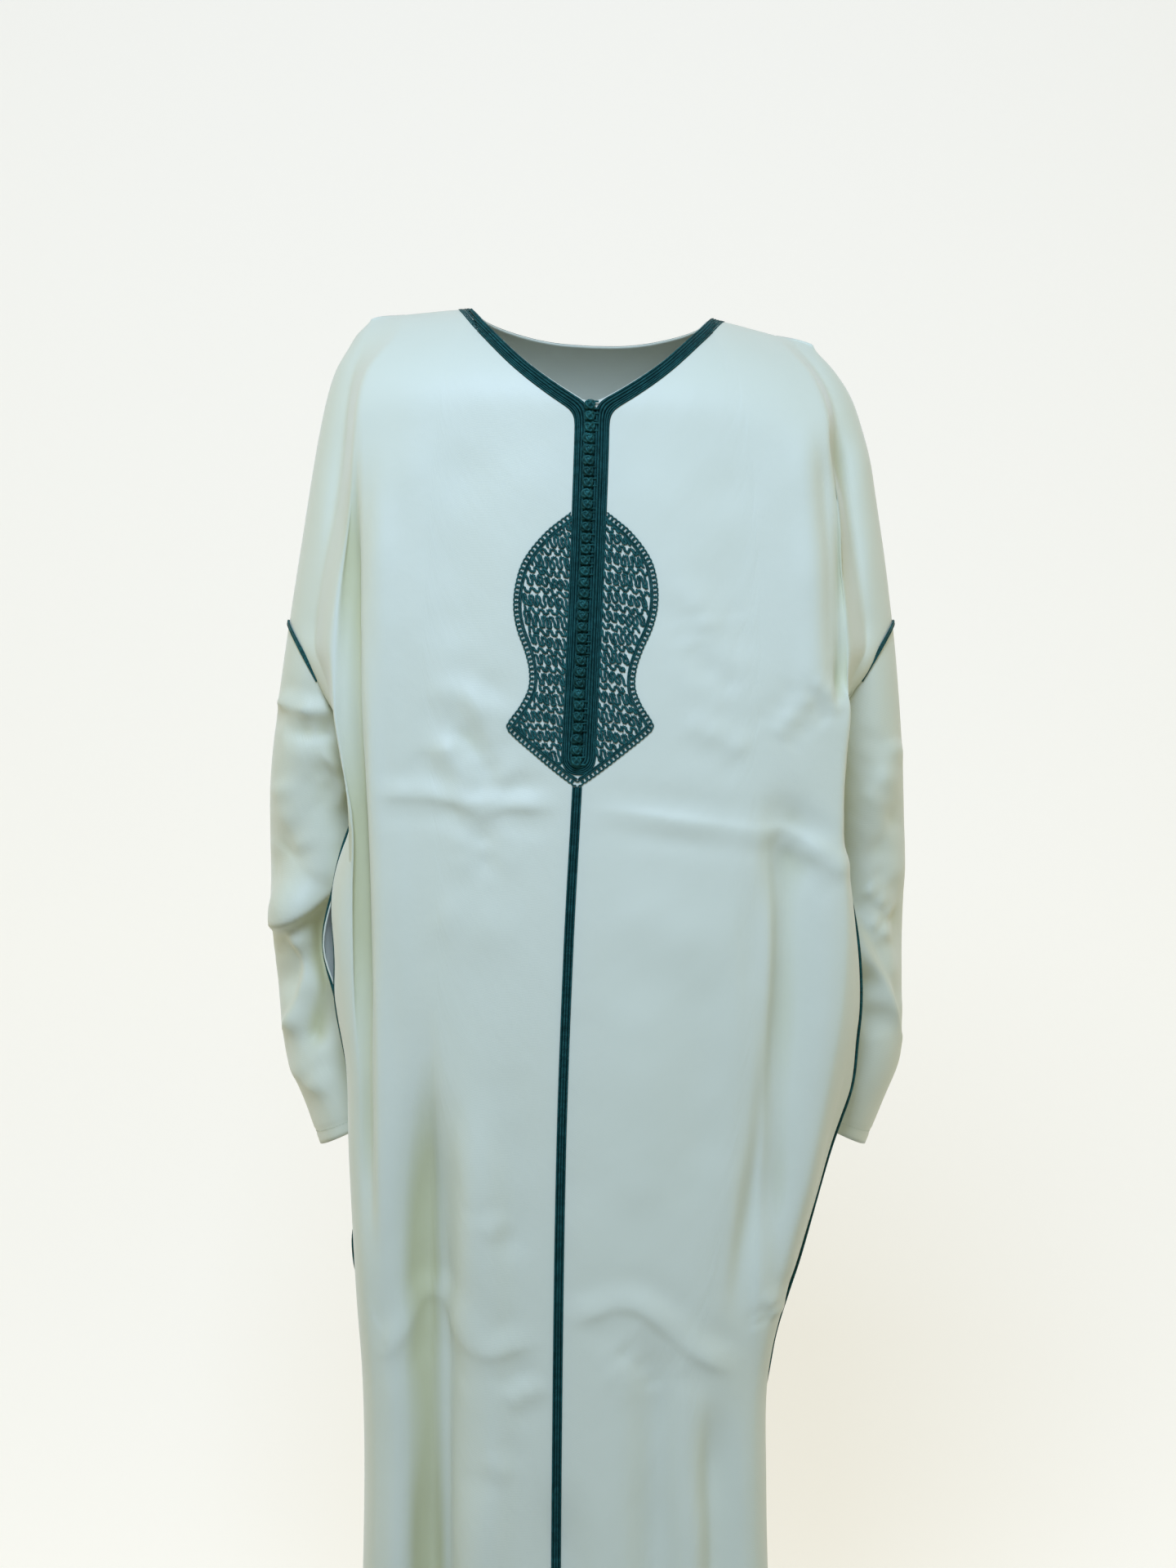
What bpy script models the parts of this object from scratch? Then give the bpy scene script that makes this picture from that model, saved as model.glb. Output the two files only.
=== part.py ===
# Djellaba robe: a worn, hollow, full length robe with wide sleeves.
# Metres, +Z up. The front faces -Y and the wearer's right arm is at -X.
# The origin is on the shoulder line, midway between the neck points.

import math
from collections import namedtuple

import bmesh
import bpy
from mathutils import Vector
from mathutils.bvhtree import BVHTree

# Cloth, seams and trims
CLOTH = 0.0016
SEAM_GAP = 0.0003
SEAM_STRIP = 0.0024
TRIM_CLEAR = 0.0008
RAISE_PASSES = 10
BRAID_INSET = 0.14
BRAID_EDGE_HEIGHT = 0.85

# Heights that divide the robe
SLEEVE_TOP_Z = -0.290
UNDERARM_Z = -0.420
HEM_Z = -1.445
CUFF_OUTER_Z = -0.805
CUFF_INNER_Z = -0.772

# Shoulders and neck
NECK_HALF = 0.116
CHEST_TOP_HALF = 0.178
SHOULDER_HALF = 0.213
SHOULDER_ROLL = 0.110
ROLL_POWER = 0.68

# Section shape: how far the chest has fallen back at its edge, and how flat it is before that
EDGE_FALL = 0.22
EDGE_POWER = 2.8
FOLD_STEP = 0.02
FOLD_RISE, FOLD_END = 5, 4
VALLEY_ANGLE = math.radians(75)
VALLEY_STEP = math.radians(15)

# Pocket slits in the side seams
SLIT_TOP_Z = -0.500
SLIT_LOW_Z = -0.655
SLIT_HALF_GAP = 0.007
SEAM_PARTING = 0.09

# Braids, piping and knots
NECK_BRAID = 0.0140
NECK_LEAN = Vector((0.005, 0.0, -0.001))
NECK_STEP = 0.004
NECK_END = 0.97
PLACKET_HALF = 0.0160
PLACKET_TOP_Z = -0.1105
PLACKET_LOW_Z = -0.440
PLACKET_FOOT = 0.72
NECK_POINT_SLOPE = 0.61
CENTRE_BRAID = 0.0090
BRAID_HEIGHT = 0.0022
PIPING = 0.0055
PIPING_HEIGHT = 0.0026
ARMHOLE_PIPING_REACH = math.radians(82.5)
SIDE_PIPING_DROP = 0.060
KNOT_COUNT = 33
KNOT_WIDTH = 0.0090
KNOT_DEPTH = 0.0060
KNOT_HEIGHT = 0.0096
KNOT_TOP_Z = -0.0975
KNOT_PITCH = 0.0103
KNOT_SEGMENTS, KNOT_RINGS = 7, 4
MEDALLION_HEIGHT = 0.0016
MEDALLION_TOP_Z = -0.197
MEDALLION_LOW_Z = -0.450

# Grid counts
NECK_SHARES = [0.0, 0.24, 0.46, 0.66, 0.82, 0.93, 0.98]
NECK_COLUMNS = len(NECK_SHARES)
SHOULDER_COLUMNS = 4
TAIL_COLUMNS = 6
SLEEVE_COLUMNS = 16
SLEEVE_ROWS = 14
NOTCH_COLUMN = 5

COLLECTION = "djellaba_robe"
FRONT, BACK = -1, 1
LEFT, RIGHT = -1, 1

# The edges of the chest and of the back, their depths, and the side seam, down the robe
Body = namedtuple("Body", "z left right front rear_left rear_right back seam_left seam_right seam_y")
BODY = [
    Body(0.020, 0.178, 0.178, 0.116, 0.172, 0.172, 0.100, 0.200, 0.200, 0.000),
    Body(-0.020, 0.186, 0.182, 0.118, 0.176, 0.176, 0.102, 0.200, 0.200, 0.000),
    Body(-0.060, 0.213, 0.210, 0.119, 0.196, 0.192, 0.106, 0.205, 0.200, 0.000),
    Body(-0.120, 0.224, 0.228, 0.120, 0.208, 0.206, 0.112, 0.210, 0.205, 0.000),
    Body(-0.200, 0.232, 0.238, 0.124, 0.216, 0.212, 0.116, 0.212, 0.205, 0.000),
    Body(-0.300, 0.241, 0.243, 0.127, 0.220, 0.214, 0.116, 0.214, 0.205, 0.000),
    Body(-0.360, 0.242, 0.245, 0.129, 0.216, 0.208, 0.114, 0.215, 0.204, 0.000),
    Body(-0.420, 0.236, 0.239, 0.130, 0.204, 0.192, 0.112, 0.212, 0.200, 0.000),
    Body(-0.500, 0.225, 0.234, 0.132, 0.204, 0.190, 0.112, 0.234, 0.230, -0.036),
    Body(-0.580, 0.222, 0.238, 0.134, 0.203, 0.190, 0.115, 0.248, 0.250, -0.044),
    Body(-0.660, 0.220, 0.233, 0.134, 0.196, 0.190, 0.118, 0.241, 0.256, -0.046),
    Body(-0.720, 0.218, 0.222, 0.134, 0.187, 0.188, 0.121, 0.231, 0.246, -0.038),
    Body(-0.800, 0.216, 0.205, 0.133, 0.172, 0.166, 0.126, 0.228, 0.219, -0.028),
    Body(-0.900, 0.210, 0.180, 0.132, 0.192, 0.162, 0.129, 0.222, 0.193, -0.012),
    Body(-1.000, 0.203, 0.155, 0.132, 0.192, 0.146, 0.131, 0.214, 0.165, 0.000),
    Body(-1.100, 0.200, 0.152, 0.133, 0.190, 0.144, 0.133, 0.212, 0.163, 0.000),
    Body(-1.300, 0.203, 0.156, 0.137, 0.193, 0.148, 0.137, 0.216, 0.168, 0.000),
    Body(-1.460, 0.208, 0.162, 0.141, 0.198, 0.154, 0.141, 0.222, 0.175, 0.000),
]

# The arm's outer edge, and the half width, half depth and place of the arm's oval
Arm = namedtuple("Arm", "z left right half_width half_depth y")
ARM = [
    Arm(0.020, 0.213, 0.213, 0.014, 0.050, 0.000),
    Arm(0.003, 0.214, 0.213, 0.016, 0.052, 0.000),
    Arm(-0.012, 0.228, 0.213, 0.020, 0.053, 0.000),
    Arm(-0.028, 0.237, 0.219, 0.025, 0.053, 0.000),
    Arm(-0.044, 0.247, 0.234, 0.030, 0.052, 0.000),
    Arm(-0.075, 0.257, 0.254, 0.036, 0.051, 0.002),
    Arm(-0.123, 0.267, 0.268, 0.042, 0.051, 0.005),
    Arm(-0.202, 0.280, 0.282, 0.046, 0.053, 0.008),
    Arm(-0.282, 0.293, 0.293, 0.047, 0.055, 0.012),
    Arm(-0.361, 0.305, 0.301, 0.046, 0.056, 0.020),
    Arm(-0.440, 0.315, 0.307, 0.045, 0.057, 0.034),
    Arm(-0.520, 0.318, 0.311, 0.044, 0.058, 0.054),
    Arm(-0.600, 0.316, 0.310, 0.044, 0.060, 0.066),
    Arm(-0.680, 0.308, 0.310, 0.044, 0.062, 0.070),
    Arm(-0.720, 0.303, 0.308, 0.044, 0.064, 0.071),
    Arm(-0.760, 0.287, 0.292, 0.042, 0.066, 0.071),
    Arm(-0.810, 0.268, 0.271, 0.038, 0.067, 0.071),
]

# The shoulder line, from the wearer's right to left
Ridge = namedtuple("Ridge", "x z")
RIDGE = [
    Ridge(-0.300, -0.040),
    Ridge(-0.235, -0.006),
    Ridge(-0.213, 0.003),
    Ridge(-0.160, 0.010),
    Ridge(-0.116, 0.013),
    Ridge(0.000, 0.008),
    Ridge(0.116, 0.003),
    Ridge(0.160, -0.007),
    Ridge(0.213, -0.022),
    Ridge(0.235, -0.027),
    Ridge(0.300, -0.055),
]

# How far the neck edge drops below the shoulder line
Neck = namedtuple("Neck", "x front back")
NECK = [
    Neck(0.000, 0.105, 0.022),
    Neck(0.036, 0.083, 0.021),
    Neck(0.067, 0.059, 0.017),
    Neck(0.099, 0.024, 0.009),
    Neck(0.116, 0.000, 0.000),
]

# Folds run down a panel. Across is 0 at the centre, 1 at the chest edge and 2 at the seam,
# negative on the wearer's right. A depth is a trough and a negative one a ridge.
# Lean moves the trough's lowest line towards one side, which makes that side steeper.
Fold = namedtuple("Fold", "panel top_across low_across top_z low_z half_width depth lean")
FOLDS = [
    Fold(FRONT, -0.70, -0.74, -0.700, -1.460, 0.17, 0.020, 0.4),
    Fold(FRONT, -0.93, -0.96, -0.130, -0.740, 0.09, 0.009, -0.3),
    Fold(FRONT, -0.47, -0.45, -0.720, -1.250, 0.16, -0.006, 0.0),
    Fold(FRONT, 0.80, 0.86, -0.440, -0.960, 0.17, 0.012, -0.4),
    Fold(FRONT, 0.93, 0.95, -0.120, -0.380, 0.09, 0.008, 0.0),
    Fold(FRONT, 0.36, 0.40, -0.930, -1.460, 0.20, 0.011, 0.2),
    Fold(FRONT, -0.14, -0.10, -1.080, -1.460, 0.18, 0.009, 0.0),
    Fold(FRONT, 0.78, 0.80, -1.000, -1.460, 0.17, 0.014, -0.2),
    Fold(BACK, -0.22, -0.30, -0.160, -1.460, 0.20, 0.013, 0.3),
    Fold(BACK, 0.24, 0.28, -0.190, -1.460, 0.20, 0.014, -0.2),
    Fold(BACK, -0.66, -0.68, -0.120, -1.460, 0.18, 0.015, 0.0),
    Fold(BACK, 0.66, 0.72, -0.140, -1.460, 0.18, 0.013, 0.3),
    Fold(BACK, 0.00, 0.02, -0.560, -1.460, 0.18, 0.012, 0.0),
    Fold(BACK, -0.95, -1.00, -0.620, -1.460, 0.15, 0.012, 0.0),
    Fold(BACK, 0.95, 1.00, -0.560, -1.460, 0.15, 0.012, 0.0),
]

# The sleeve bags over itself below the elbow: a lip at each angle's height
Lip = namedtuple("Lip", "side angle z half_width half_height depth")
LIPS = [
    Lip(LEFT, 70, -0.560, 60, 0.050, 0.007),
    Lip(LEFT, 110, -0.500, 60, 0.050, 0.006),
    Lip(LEFT, 60, -0.640, 55, 0.045, -0.006),
    Lip(RIGHT, 80, -0.600, 60, 0.050, 0.007),
    Lip(RIGHT, 60, -0.680, 55, 0.045, -0.006),
    Lip(LEFT, 250, -0.540, 60, 0.060, 0.006),
    Lip(RIGHT, 260, -0.520, 60, 0.060, 0.006),
    Lip(LEFT, 300, -0.420, 50, 0.040, -0.005),
    Lip(RIGHT, 310, -0.430, 50, 0.040, -0.005),
]

# Half widths of the medallion, from its top to its foot
Medallion = namedtuple("Medallion", "z half_width")
MEDALLION = [
    Medallion(-0.197, 0.018),
    Medallion(-0.215, 0.040),
    Medallion(-0.240, 0.059),
    Medallion(-0.263, 0.066),
    Medallion(-0.285, 0.067),
    Medallion(-0.305, 0.063),
    Medallion(-0.325, 0.055),
    Medallion(-0.343, 0.050),
    Medallion(-0.360, 0.050),
    Medallion(-0.376, 0.057),
    Medallion(-0.393, 0.068),
    Medallion(-0.400, 0.066),
    Medallion(-0.420, 0.043),
    Medallion(-0.440, 0.018),
    Medallion(-0.450, 0.004),
]

# The centre front line drifts towards the wearer's right as the robe hangs
Drift = namedtuple("Drift", "z x")
DRIFT = [
    Drift(0.000, 0.001),
    Drift(-0.100, 0.001),
    Drift(-0.200, -0.002),
    Drift(-0.300, -0.006),
    Drift(-0.450, -0.013),
    Drift(-0.600, -0.021),
    Drift(-0.800, -0.028),
    Drift(-1.100, -0.032),
    Drift(-1.460, -0.034),
]

# How a panel rounds the body below the arm: how far its curve leaves the chest edge, out and
# back, and is pulled at the seam, as shares of the way. Each has an addition below swell_top.
Flank = namedtuple("Flank", "swell_top swell_run pull more_pull out more_out back more_back")
FLANKS = {
    FRONT: Flank(UNDERARM_Z - 0.03, 0.10, -0.25, 0.00, 0.04, 0.18, 0.28, -0.06),
    BACK: Flank(CUFF_INNER_Z, 0.15, 0.14, 0.18, 0.06, 0.22, -0.32, 0.12),
}
ARM_LEAVING = 1.25

Finish = namedtuple("Finish", "colour roughness")
CLOTH_FINISH = Finish((0.62, 0.70, 0.69, 1.0), 0.55)
BRAID_FINISH = Finish((0.006, 0.045, 0.050, 1.0), 0.50)


def read(table, column, at):
    """Reads a column of a table at a place between its rows, on a smooth curve."""
    rows = sorted(table, key=lambda row: row[0])
    keys = [row[0] for row in rows]
    values = [getattr(row, column) for row in rows]
    if at <= keys[0]:
        return values[0]
    if at >= keys[-1]:
        return values[-1]
    low = max(i for i in range(len(keys) - 1) if keys[i] <= at)

    def slope(i):
        before, after = max(i - 1, 0), min(i + 1, len(keys) - 1)
        return (values[after] - values[before]) / (keys[after] - keys[before])

    span = keys[low + 1] - keys[low]
    t = (at - keys[low]) / span
    return ((2 * t**3 - 3 * t**2 + 1) * values[low]
            + (t**3 - 2 * t**2 + t) * span * slope(low)
            + (3 * t**2 - 2 * t**3) * values[low + 1]
            + (t**3 - t**2) * span * slope(low + 1))


def ease(t):
    t = min(max(t, 0.0), 1.0)
    return t * t * (3 - 2 * t)


def side_name(side):
    return "left" if side == LEFT else "right"


def arm_point(side, z, angle):
    """A point on the arm's oval. Angle 0 is outermost, 90 the front and 180 beside the body."""
    half_width = read(ARM, "half_width", z)
    x = read(ARM, side_name(side), z) - half_width + half_width * math.cos(angle)
    y = read(ARM, "y", z) - read(ARM, "half_depth", z) * math.sin(angle)
    return Vector((x, y))


def armhole_share(z):
    return min(max((SLEEVE_TOP_Z - z) / (SLEEVE_TOP_Z - UNDERARM_Z), 0.0), 1.0)


def armhole_z(angle):
    return SLEEVE_TOP_Z - (SLEEVE_TOP_Z - UNDERARM_Z) * (1 - math.cos(angle)) / 2


def slit_gap(z):
    share = (SLIT_TOP_Z - z) / (SLIT_TOP_Z - SLIT_LOW_Z)
    if share <= 0 or share >= 1:
        return 0.0
    return SLIT_HALF_GAP * math.sin(math.pi * share) ** 2


def seam_point(side, z, panel):
    """The end of a panel's section: the shoulder seam, armhole or side seam."""
    share = armhole_share(z)
    angle = math.acos(1 - 2 * share)
    if z >= UNDERARM_Z:
        return arm_point(side, z, -panel * angle)
    under = arm_point(side, UNDERARM_Z, math.pi)
    below = Vector((read(BODY, "seam_" + side_name(side), z), read(BODY, "seam_y", z)))
    share = min((UNDERARM_Z - z) / SEAM_PARTING, 1.0)
    point = under.lerp(below, 1 - (1 - share) ** 2)
    return point + Vector((0.0, panel * slit_gap(z)))


def bezier(a, b, c, d, t):
    s = 1 - t
    return a * s**3 + b * 3 * s * s * t + c * 3 * s * t * t + d * t**3


def tail_point(panel, side, start, t, z):
    """From the chest edge to the seam: over the arm above, round the flank below."""
    share = armhole_share(z)
    end_angle = math.acos(1 - 2 * share)
    end = seam_point(side, z, panel)
    reach = (end - start).length
    flank = FLANKS[panel]
    swell = ease((flank.swell_top - z) / flank.swell_run)
    pull = Vector((0.0, flank.pull + flank.more_pull * swell)) * reach
    leave = Vector((flank.out + flank.more_out * swell, flank.back + flank.more_back * swell)) * reach
    round_flank = bezier(start, start + leave, end + pull, end, t)
    valley_angle = min(max(VALLEY_ANGLE, end_angle + VALLEY_STEP), math.pi)
    valley = arm_point(side, z, -panel * valley_angle)
    if t < 1 / 3:
        over = start.lerp(valley, t * 3)
    else:
        over = arm_point(side, z, -panel * (valley_angle + (end_angle - valley_angle) * (t * 1.5 - 0.5)))
    return over.lerp(round_flank, ease(share * ARM_LEAVING))


def section_base(panel, side, across, z):
    depth = read(BODY, "front" if panel == FRONT else "back", z)
    edge = read(BODY, ("" if panel == FRONT else "rear_") + side_name(side), z)
    if across <= 1:
        return Vector((edge * across, panel * depth * (1 - EDGE_FALL * across**EDGE_POWER)))
    start = Vector((edge, panel * depth * (1 - EDGE_FALL)))
    return tail_point(panel, side, start, across - 1, z)


def fold_depth(panel, across, z):
    """The sum of the folds at a place, as a distance into the robe."""
    total = 0.0
    for fold in FOLDS:
        if fold.panel != panel or z > fold.top_z:
            continue
        share = min((z - fold.top_z) / (fold.low_z - fold.top_z), 1.0)
        middle = fold.top_across + (fold.low_across - fold.top_across) * share
        offset = (across - middle) / fold.half_width
        if abs(offset) >= 1:
            continue
        lean = fold.lean
        t = (offset - lean) / (1 - lean) if offset > lean else (offset - lean) / (1 + lean)
        fade = ease(share * FOLD_RISE)
        if fold.low_z > HEM_Z:
            fade *= ease((1 - share) * FOLD_END)
        total += fold.depth * fade * math.cos(t * math.pi / 2) ** 2
    return total


def section(panel, side, across, z):
    """A point of a level section of the robe, as x out from the centre and y."""
    point = section_base(panel, side, across, z)
    depth = fold_depth(panel, side * across, z)
    if depth:
        low = section_base(panel, side, max(across - FOLD_STEP, 0.0), z)
        high = section_base(panel, side, min(across + FOLD_STEP, 2.0), z)
        run = (high - low).normalized()
        point = point - Vector((-panel * run.y, panel * run.x)) * depth
    return point


def ridge_z(x):
    return read(RIDGE, "z", x)


def neck_z(panel, x):
    """The height of the neck edge at a signed x, or of the shoulder line past the neck."""
    if abs(x) >= NECK_HALF:
        return ridge_z(x)
    return ridge_z(x) - read(NECK, "front" if panel == FRONT else "back", abs(x))


def roll(x, z):
    """Brings the front and back together at the shoulder line, along a rounded slope."""
    drop = min(max((ridge_z(x) - z) / SHOULDER_ROLL, 0.0), 1.0)
    return (1 - (1 - drop) ** 2) ** ROLL_POWER


def top_z(panel, side, across):
    if across > 1:
        x = CHEST_TOP_HALF + (SHOULDER_HALF - CHEST_TOP_HALF) * (across - 1)
        return ridge_z(side * x)
    z = 0.0
    for _ in range(12):
        z = neck_z(panel, side * section_base(panel, side, across, z).x)
    return z


def place(panel, side, across, z):
    """A point of the robe's outer face."""
    point = section(panel, side, across, z)
    middle = read(ARM, "y", z) if z > UNDERARM_Z else 0.0
    share = roll(side * point.x, z) if z > SLEEVE_TOP_Z else 1.0
    return Vector((side * point.x, middle + (point.y - middle) * share, z))


def columns():
    """Places across half a panel, with one at the neck point."""
    neck = NECK_HALF / CHEST_TOP_HALF
    neck_part = [neck * share for share in NECK_SHARES]
    chest_part = [neck + (1 - neck) * i / SHOULDER_COLUMNS for i in range(SHOULDER_COLUMNS)]
    tail_part = [1 + i / TAIL_COLUMNS for i in range(TAIL_COLUMNS + 1)]
    return neck_part + chest_part + tail_part


# Rows: shares of the way to the sleeve's top, and heights below the underarm
SHOULDER_ROWS = [0.0, 0.020, 0.080, 0.18, 0.32, 0.50, 0.74]
SKIRT_ROWS = [
    -0.450, SLIT_TOP_Z, -0.539, -0.578, -0.617, SLIT_LOW_Z, -0.705, -0.755, -0.810, -0.875,
    -0.940, -1.010, -1.080, -1.160, -1.240, -1.340, HEM_Z,
]


def armhole_rows():
    """Heights of the sleeve's columns round half the armhole, which the panels share."""
    return [armhole_z(2 * math.pi * c / SLEEVE_COLUMNS) for c in range(SLEEVE_COLUMNS // 2 + 1)]


def row_heights(panel, side, across):
    top = top_z(panel, side, across)
    shoulder = [top + (SLEEVE_TOP_Z - top) * share for share in SHOULDER_ROWS]
    return shoulder + armhole_rows() + SKIRT_ROWS


def panel_points(panel):
    """Rows of points from the wearer's right to left, from the top down."""
    half = columns()
    across = [(LEFT, a) for a in reversed(half[1:])] + [(RIGHT, a) for a in half]
    heights = [row_heights(panel, side, a) for side, a in across]
    return [[place(panel, side, a, heights[c][r]) for c, (side, a) in enumerate(across)]
            for r in range(len(heights[0]))]


def seam_way(own, shared, other):
    """The way over a seam, halfway between the ways of the two cloths that meet there."""
    return ((shared - own).normalized() + (other - shared).normalized()).normalized()


def sewn_edge(own, shared, other, folded=False):
    """The strip beside a seam, which faces its neighbour squarely, and the edge itself.
    Where the two cloths lie folded on each other, each just stops short."""
    if folded:
        way = (shared - own).normalized()
        return shared - way * SEAM_STRIP, shared - way * SEAM_GAP
    way = seam_way(own, shared, other)
    return shared - way * SEAM_STRIP, shared - way * SEAM_GAP / 2


def sew_panel(panel, points, facing, sleeves):
    """Gives a panel its sewn edges, beside the other panel and the sleeves."""
    armhole = len(SHOULDER_ROWS)
    underarm = armhole + SLEEVE_COLUMNS // 2
    rows = []
    for r, row in enumerate(points):
        ends = []
        for side, edge, inner in ((LEFT, 0, 1), (RIGHT, -1, -2)):
            shared = row[edge]
            other = facing[r][inner]
            if r == 0:
                ends.append((shared + (row[inner] - shared).normalized() * SEAM_STRIP, shared.copy()))
                continue
            if armhole < r < underarm:
                turn = panel * (armhole - r)
                other = sleeves[side][1][turn % SLEEVE_COLUMNS]
            strip, end = sewn_edge(row[inner], shared, other, armhole + NOTCH_COLUMN <= r < underarm)
            if r == armhole:
                strip.z += SEAM_GAP
                end.z += SEAM_GAP
            if r == underarm:
                strip.x -= side * SEAM_GAP
                end.x -= side * SEAM_GAP
            ends.append((strip, end))
        rows.append([ends[0][1], ends[0][0]] + row[1:-1] + [ends[1][0], ends[1][1]])
    top, strip_row = [], []
    last = len(rows[0]) - 1
    over = Vector((0.0, -panel, 0.0))
    for c, point in enumerate(rows[0]):
        if abs(c - last // 2) < NECK_COLUMNS:
            strip, end = point + (rows[1][c] - point).normalized() * SEAM_STRIP, point
        elif c in (0, last):
            end = point - over * SEAM_GAP / 2
            strip = end + (rows[1][c] - point).normalized() * SEAM_STRIP
        elif c in (1, last - 1):
            end = point - over * SEAM_GAP / 2
            strip = rows[0][c - 1 if c == 1 else last] - over * SEAM_STRIP
        else:
            strip, end = sewn_edge(rows[1][c], point, facing[1][c - 1])
        strip_row.append(strip)
        top.append(end)
    return [top, strip_row] + rows[1:]


def sleeve_points(side):
    rows = []
    for r in range(SLEEVE_ROWS + 1):
        row = []
        for c in range(SLEEVE_COLUMNS):
            angle = 2 * math.pi * c / SLEEVE_COLUMNS
            row.append(sleeve_place(side, angle, sleeve_height(angle, r / SLEEVE_ROWS)))
        rows.append(row)
    return rows


def sew_sleeve(side, points, front, back):
    """Gives a sleeve its sewn edge round the armhole."""
    armhole = len(SHOULDER_ROWS)
    half = SLEEVE_COLUMNS // 2
    inner = 1 if side == LEFT else -2
    edge = 0 if side == LEFT else -1
    strip_row, top = [], []
    for c, shared in enumerate(points[0]):
        panel = front if c <= half else back
        steps = c if c <= half else SLEEVE_COLUMNS - c
        if steps == 0:
            other = front[armhole - 1][edge]
        elif steps == half:
            other = front[armhole + half + 1][edge]
        else:
            other = panel[armhole + steps][inner]
        strip, end = sewn_edge(points[1][c], shared, other, steps >= NOTCH_COLUMN)
        strip_row.append(strip)
        top.append(end)
    return [top, strip_row] + points[1:]


def sleeve_lip(side, angle, z):
    total = 0.0
    for lip in LIPS:
        if lip.side != side:
            continue
        turn = (math.degrees(angle) - lip.angle) / lip.half_width
        rise = (z - lip.z) / lip.half_height
        if abs(turn) < 1 and abs(rise) < 1:
            total += lip.depth * math.cos(turn * math.pi / 2) ** 2 * math.cos(rise * math.pi / 2) ** 2
    return total


def sleeve_place(side, angle, z):
    point = arm_point(side, z, angle)
    out = Vector((math.cos(angle), -math.sin(angle))) * sleeve_lip(side, angle, z)
    return Vector((side * (point.x + out.x), point.y + out.y, z))


def sleeve_height(angle, share):
    cuff = CUFF_INNER_Z + (CUFF_OUTER_Z - CUFF_INNER_Z) * (1 + math.cos(angle)) / 2
    top = armhole_z(angle)
    return top + (cuff - top) * share


def make_material(name, finish):
    material = bpy.data.materials.new(name)
    material.use_nodes = True
    shader = material.node_tree.nodes["Principled BSDF"]
    shader.inputs["Base Color"].default_value = finish.colour
    shader.inputs["Roughness"].default_value = finish.roughness
    shader.inputs["Metallic"].default_value = 0.0
    return material


def add_object(name, bm, finish, collection):
    mesh = bpy.data.meshes.new(name)
    bm.to_mesh(mesh)
    bm.free()
    mesh.shade_smooth()
    mesh.materials.append(make_material(name, finish))
    obj = bpy.data.objects.new(name, mesh)
    collection.objects.link(obj)
    return obj


def cell_triangles(down, over, closed_across=False, closed_down=False):
    """Two triangles for each cell of a grid, cut in mirror image on open cloth's two halves."""
    for r in range(down if closed_down else down - 1):
        for c in range(over if closed_across else over - 1):
            below, beside = (r + 1) % down, (c + 1) % over
            a, b, d, e = r * over + c, r * over + beside, below * over + c, below * over + beside
            if closed_across or 2 * c + 1 > over - 1:
                yield a, d, b
                yield b, d, e
            else:
                yield a, d, e
                yield a, e, b


def loft(rows, closed_across=False, closed_down=False, flip=False):
    """A skin of triangles over rows of points."""
    bm = bmesh.new()
    verts = [bm.verts.new(point) for row in rows for point in row]
    for one, two, three in cell_triangles(len(rows), len(rows[0]), closed_across, closed_down):
        corners = (one, three, two) if flip else (one, two, three)
        bm.faces.new([verts[i] for i in corners])
    return bm, verts


def add_cloth(name, rows, collection, closed_across=False, flip=False):
    bm, _ = loft(rows, closed_across=closed_across, flip=flip)
    obj = add_object(name, bm, CLOTH_FINISH, collection)
    wall = obj.modifiers.new("wall", "SOLIDIFY")
    wall.thickness = CLOTH
    wall.offset = -1
    wall.use_even_offset = False
    return obj


class Face:
    """The faceted outer face of the cloth, on which trims lie."""

    def __init__(self, grids):
        points, faces = [], []
        for grid, closed in grids:
            start = len(points)
            points += [tuple(point) for row in grid for point in row]
            for corners in cell_triangles(len(grid), len(grid[0]), closed_across=closed):
                faces.append([start + i for i in corners])
        self.tree = BVHTree.FromPolygons(points, faces)

    def at(self, x, z):
        """The place on the front at an x and a z."""
        return self.tree.ray_cast(Vector((x, -1.0, z)), Vector((0.0, 1.0, 0.0)))[0]

    def snap(self, point, out, lift):
        """The nearest place on the cloth, moved out."""
        hit, normal, _, _ = self.tree.find_nearest(point)
        if normal.dot(out) < 0:
            normal = -normal
        return hit + (normal + out).normalized() * lift


# A station of a braid: its place, the way out of the cloth, the way across and half its width
Station = namedtuple("Station", "place out way half_width")


def raise_clear(rows, outs, face, closed):
    """Lifts a braid's underside where a facet of the cloth would stand into it."""
    count, wide = len(rows), len(rows[0])
    shares = (0.0, 0.25, 0.5, 0.75, 1.0)
    for _ in range(RAISE_PASSES):
        for i in range(count if closed else count - 1):
            after = (i + 1) % count
            out = (outs[i] + outs[after]).normalized()
            for j in range(wide - 1):
                for s in shares:
                    for t in shares:
                        weights = ((i, j, (1 - s) * (1 - t)), (i, j + 1, (1 - s) * t),
                                   (after, j, s * (1 - t)), (after, j + 1, s * t))
                        middle = sum((rows[a][b] * w for a, b, w in weights), Vector())
                        hit, normal, _, _ = face.tree.find_nearest(middle)
                        if normal.dot(out) < 0:
                            normal = -normal
                        lack = TRIM_CLEAR - (middle - hit).dot(normal)
                        if lack > 0:
                            for a, b, w in weights:
                                rows[a][b] += normal * lack * w


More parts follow.
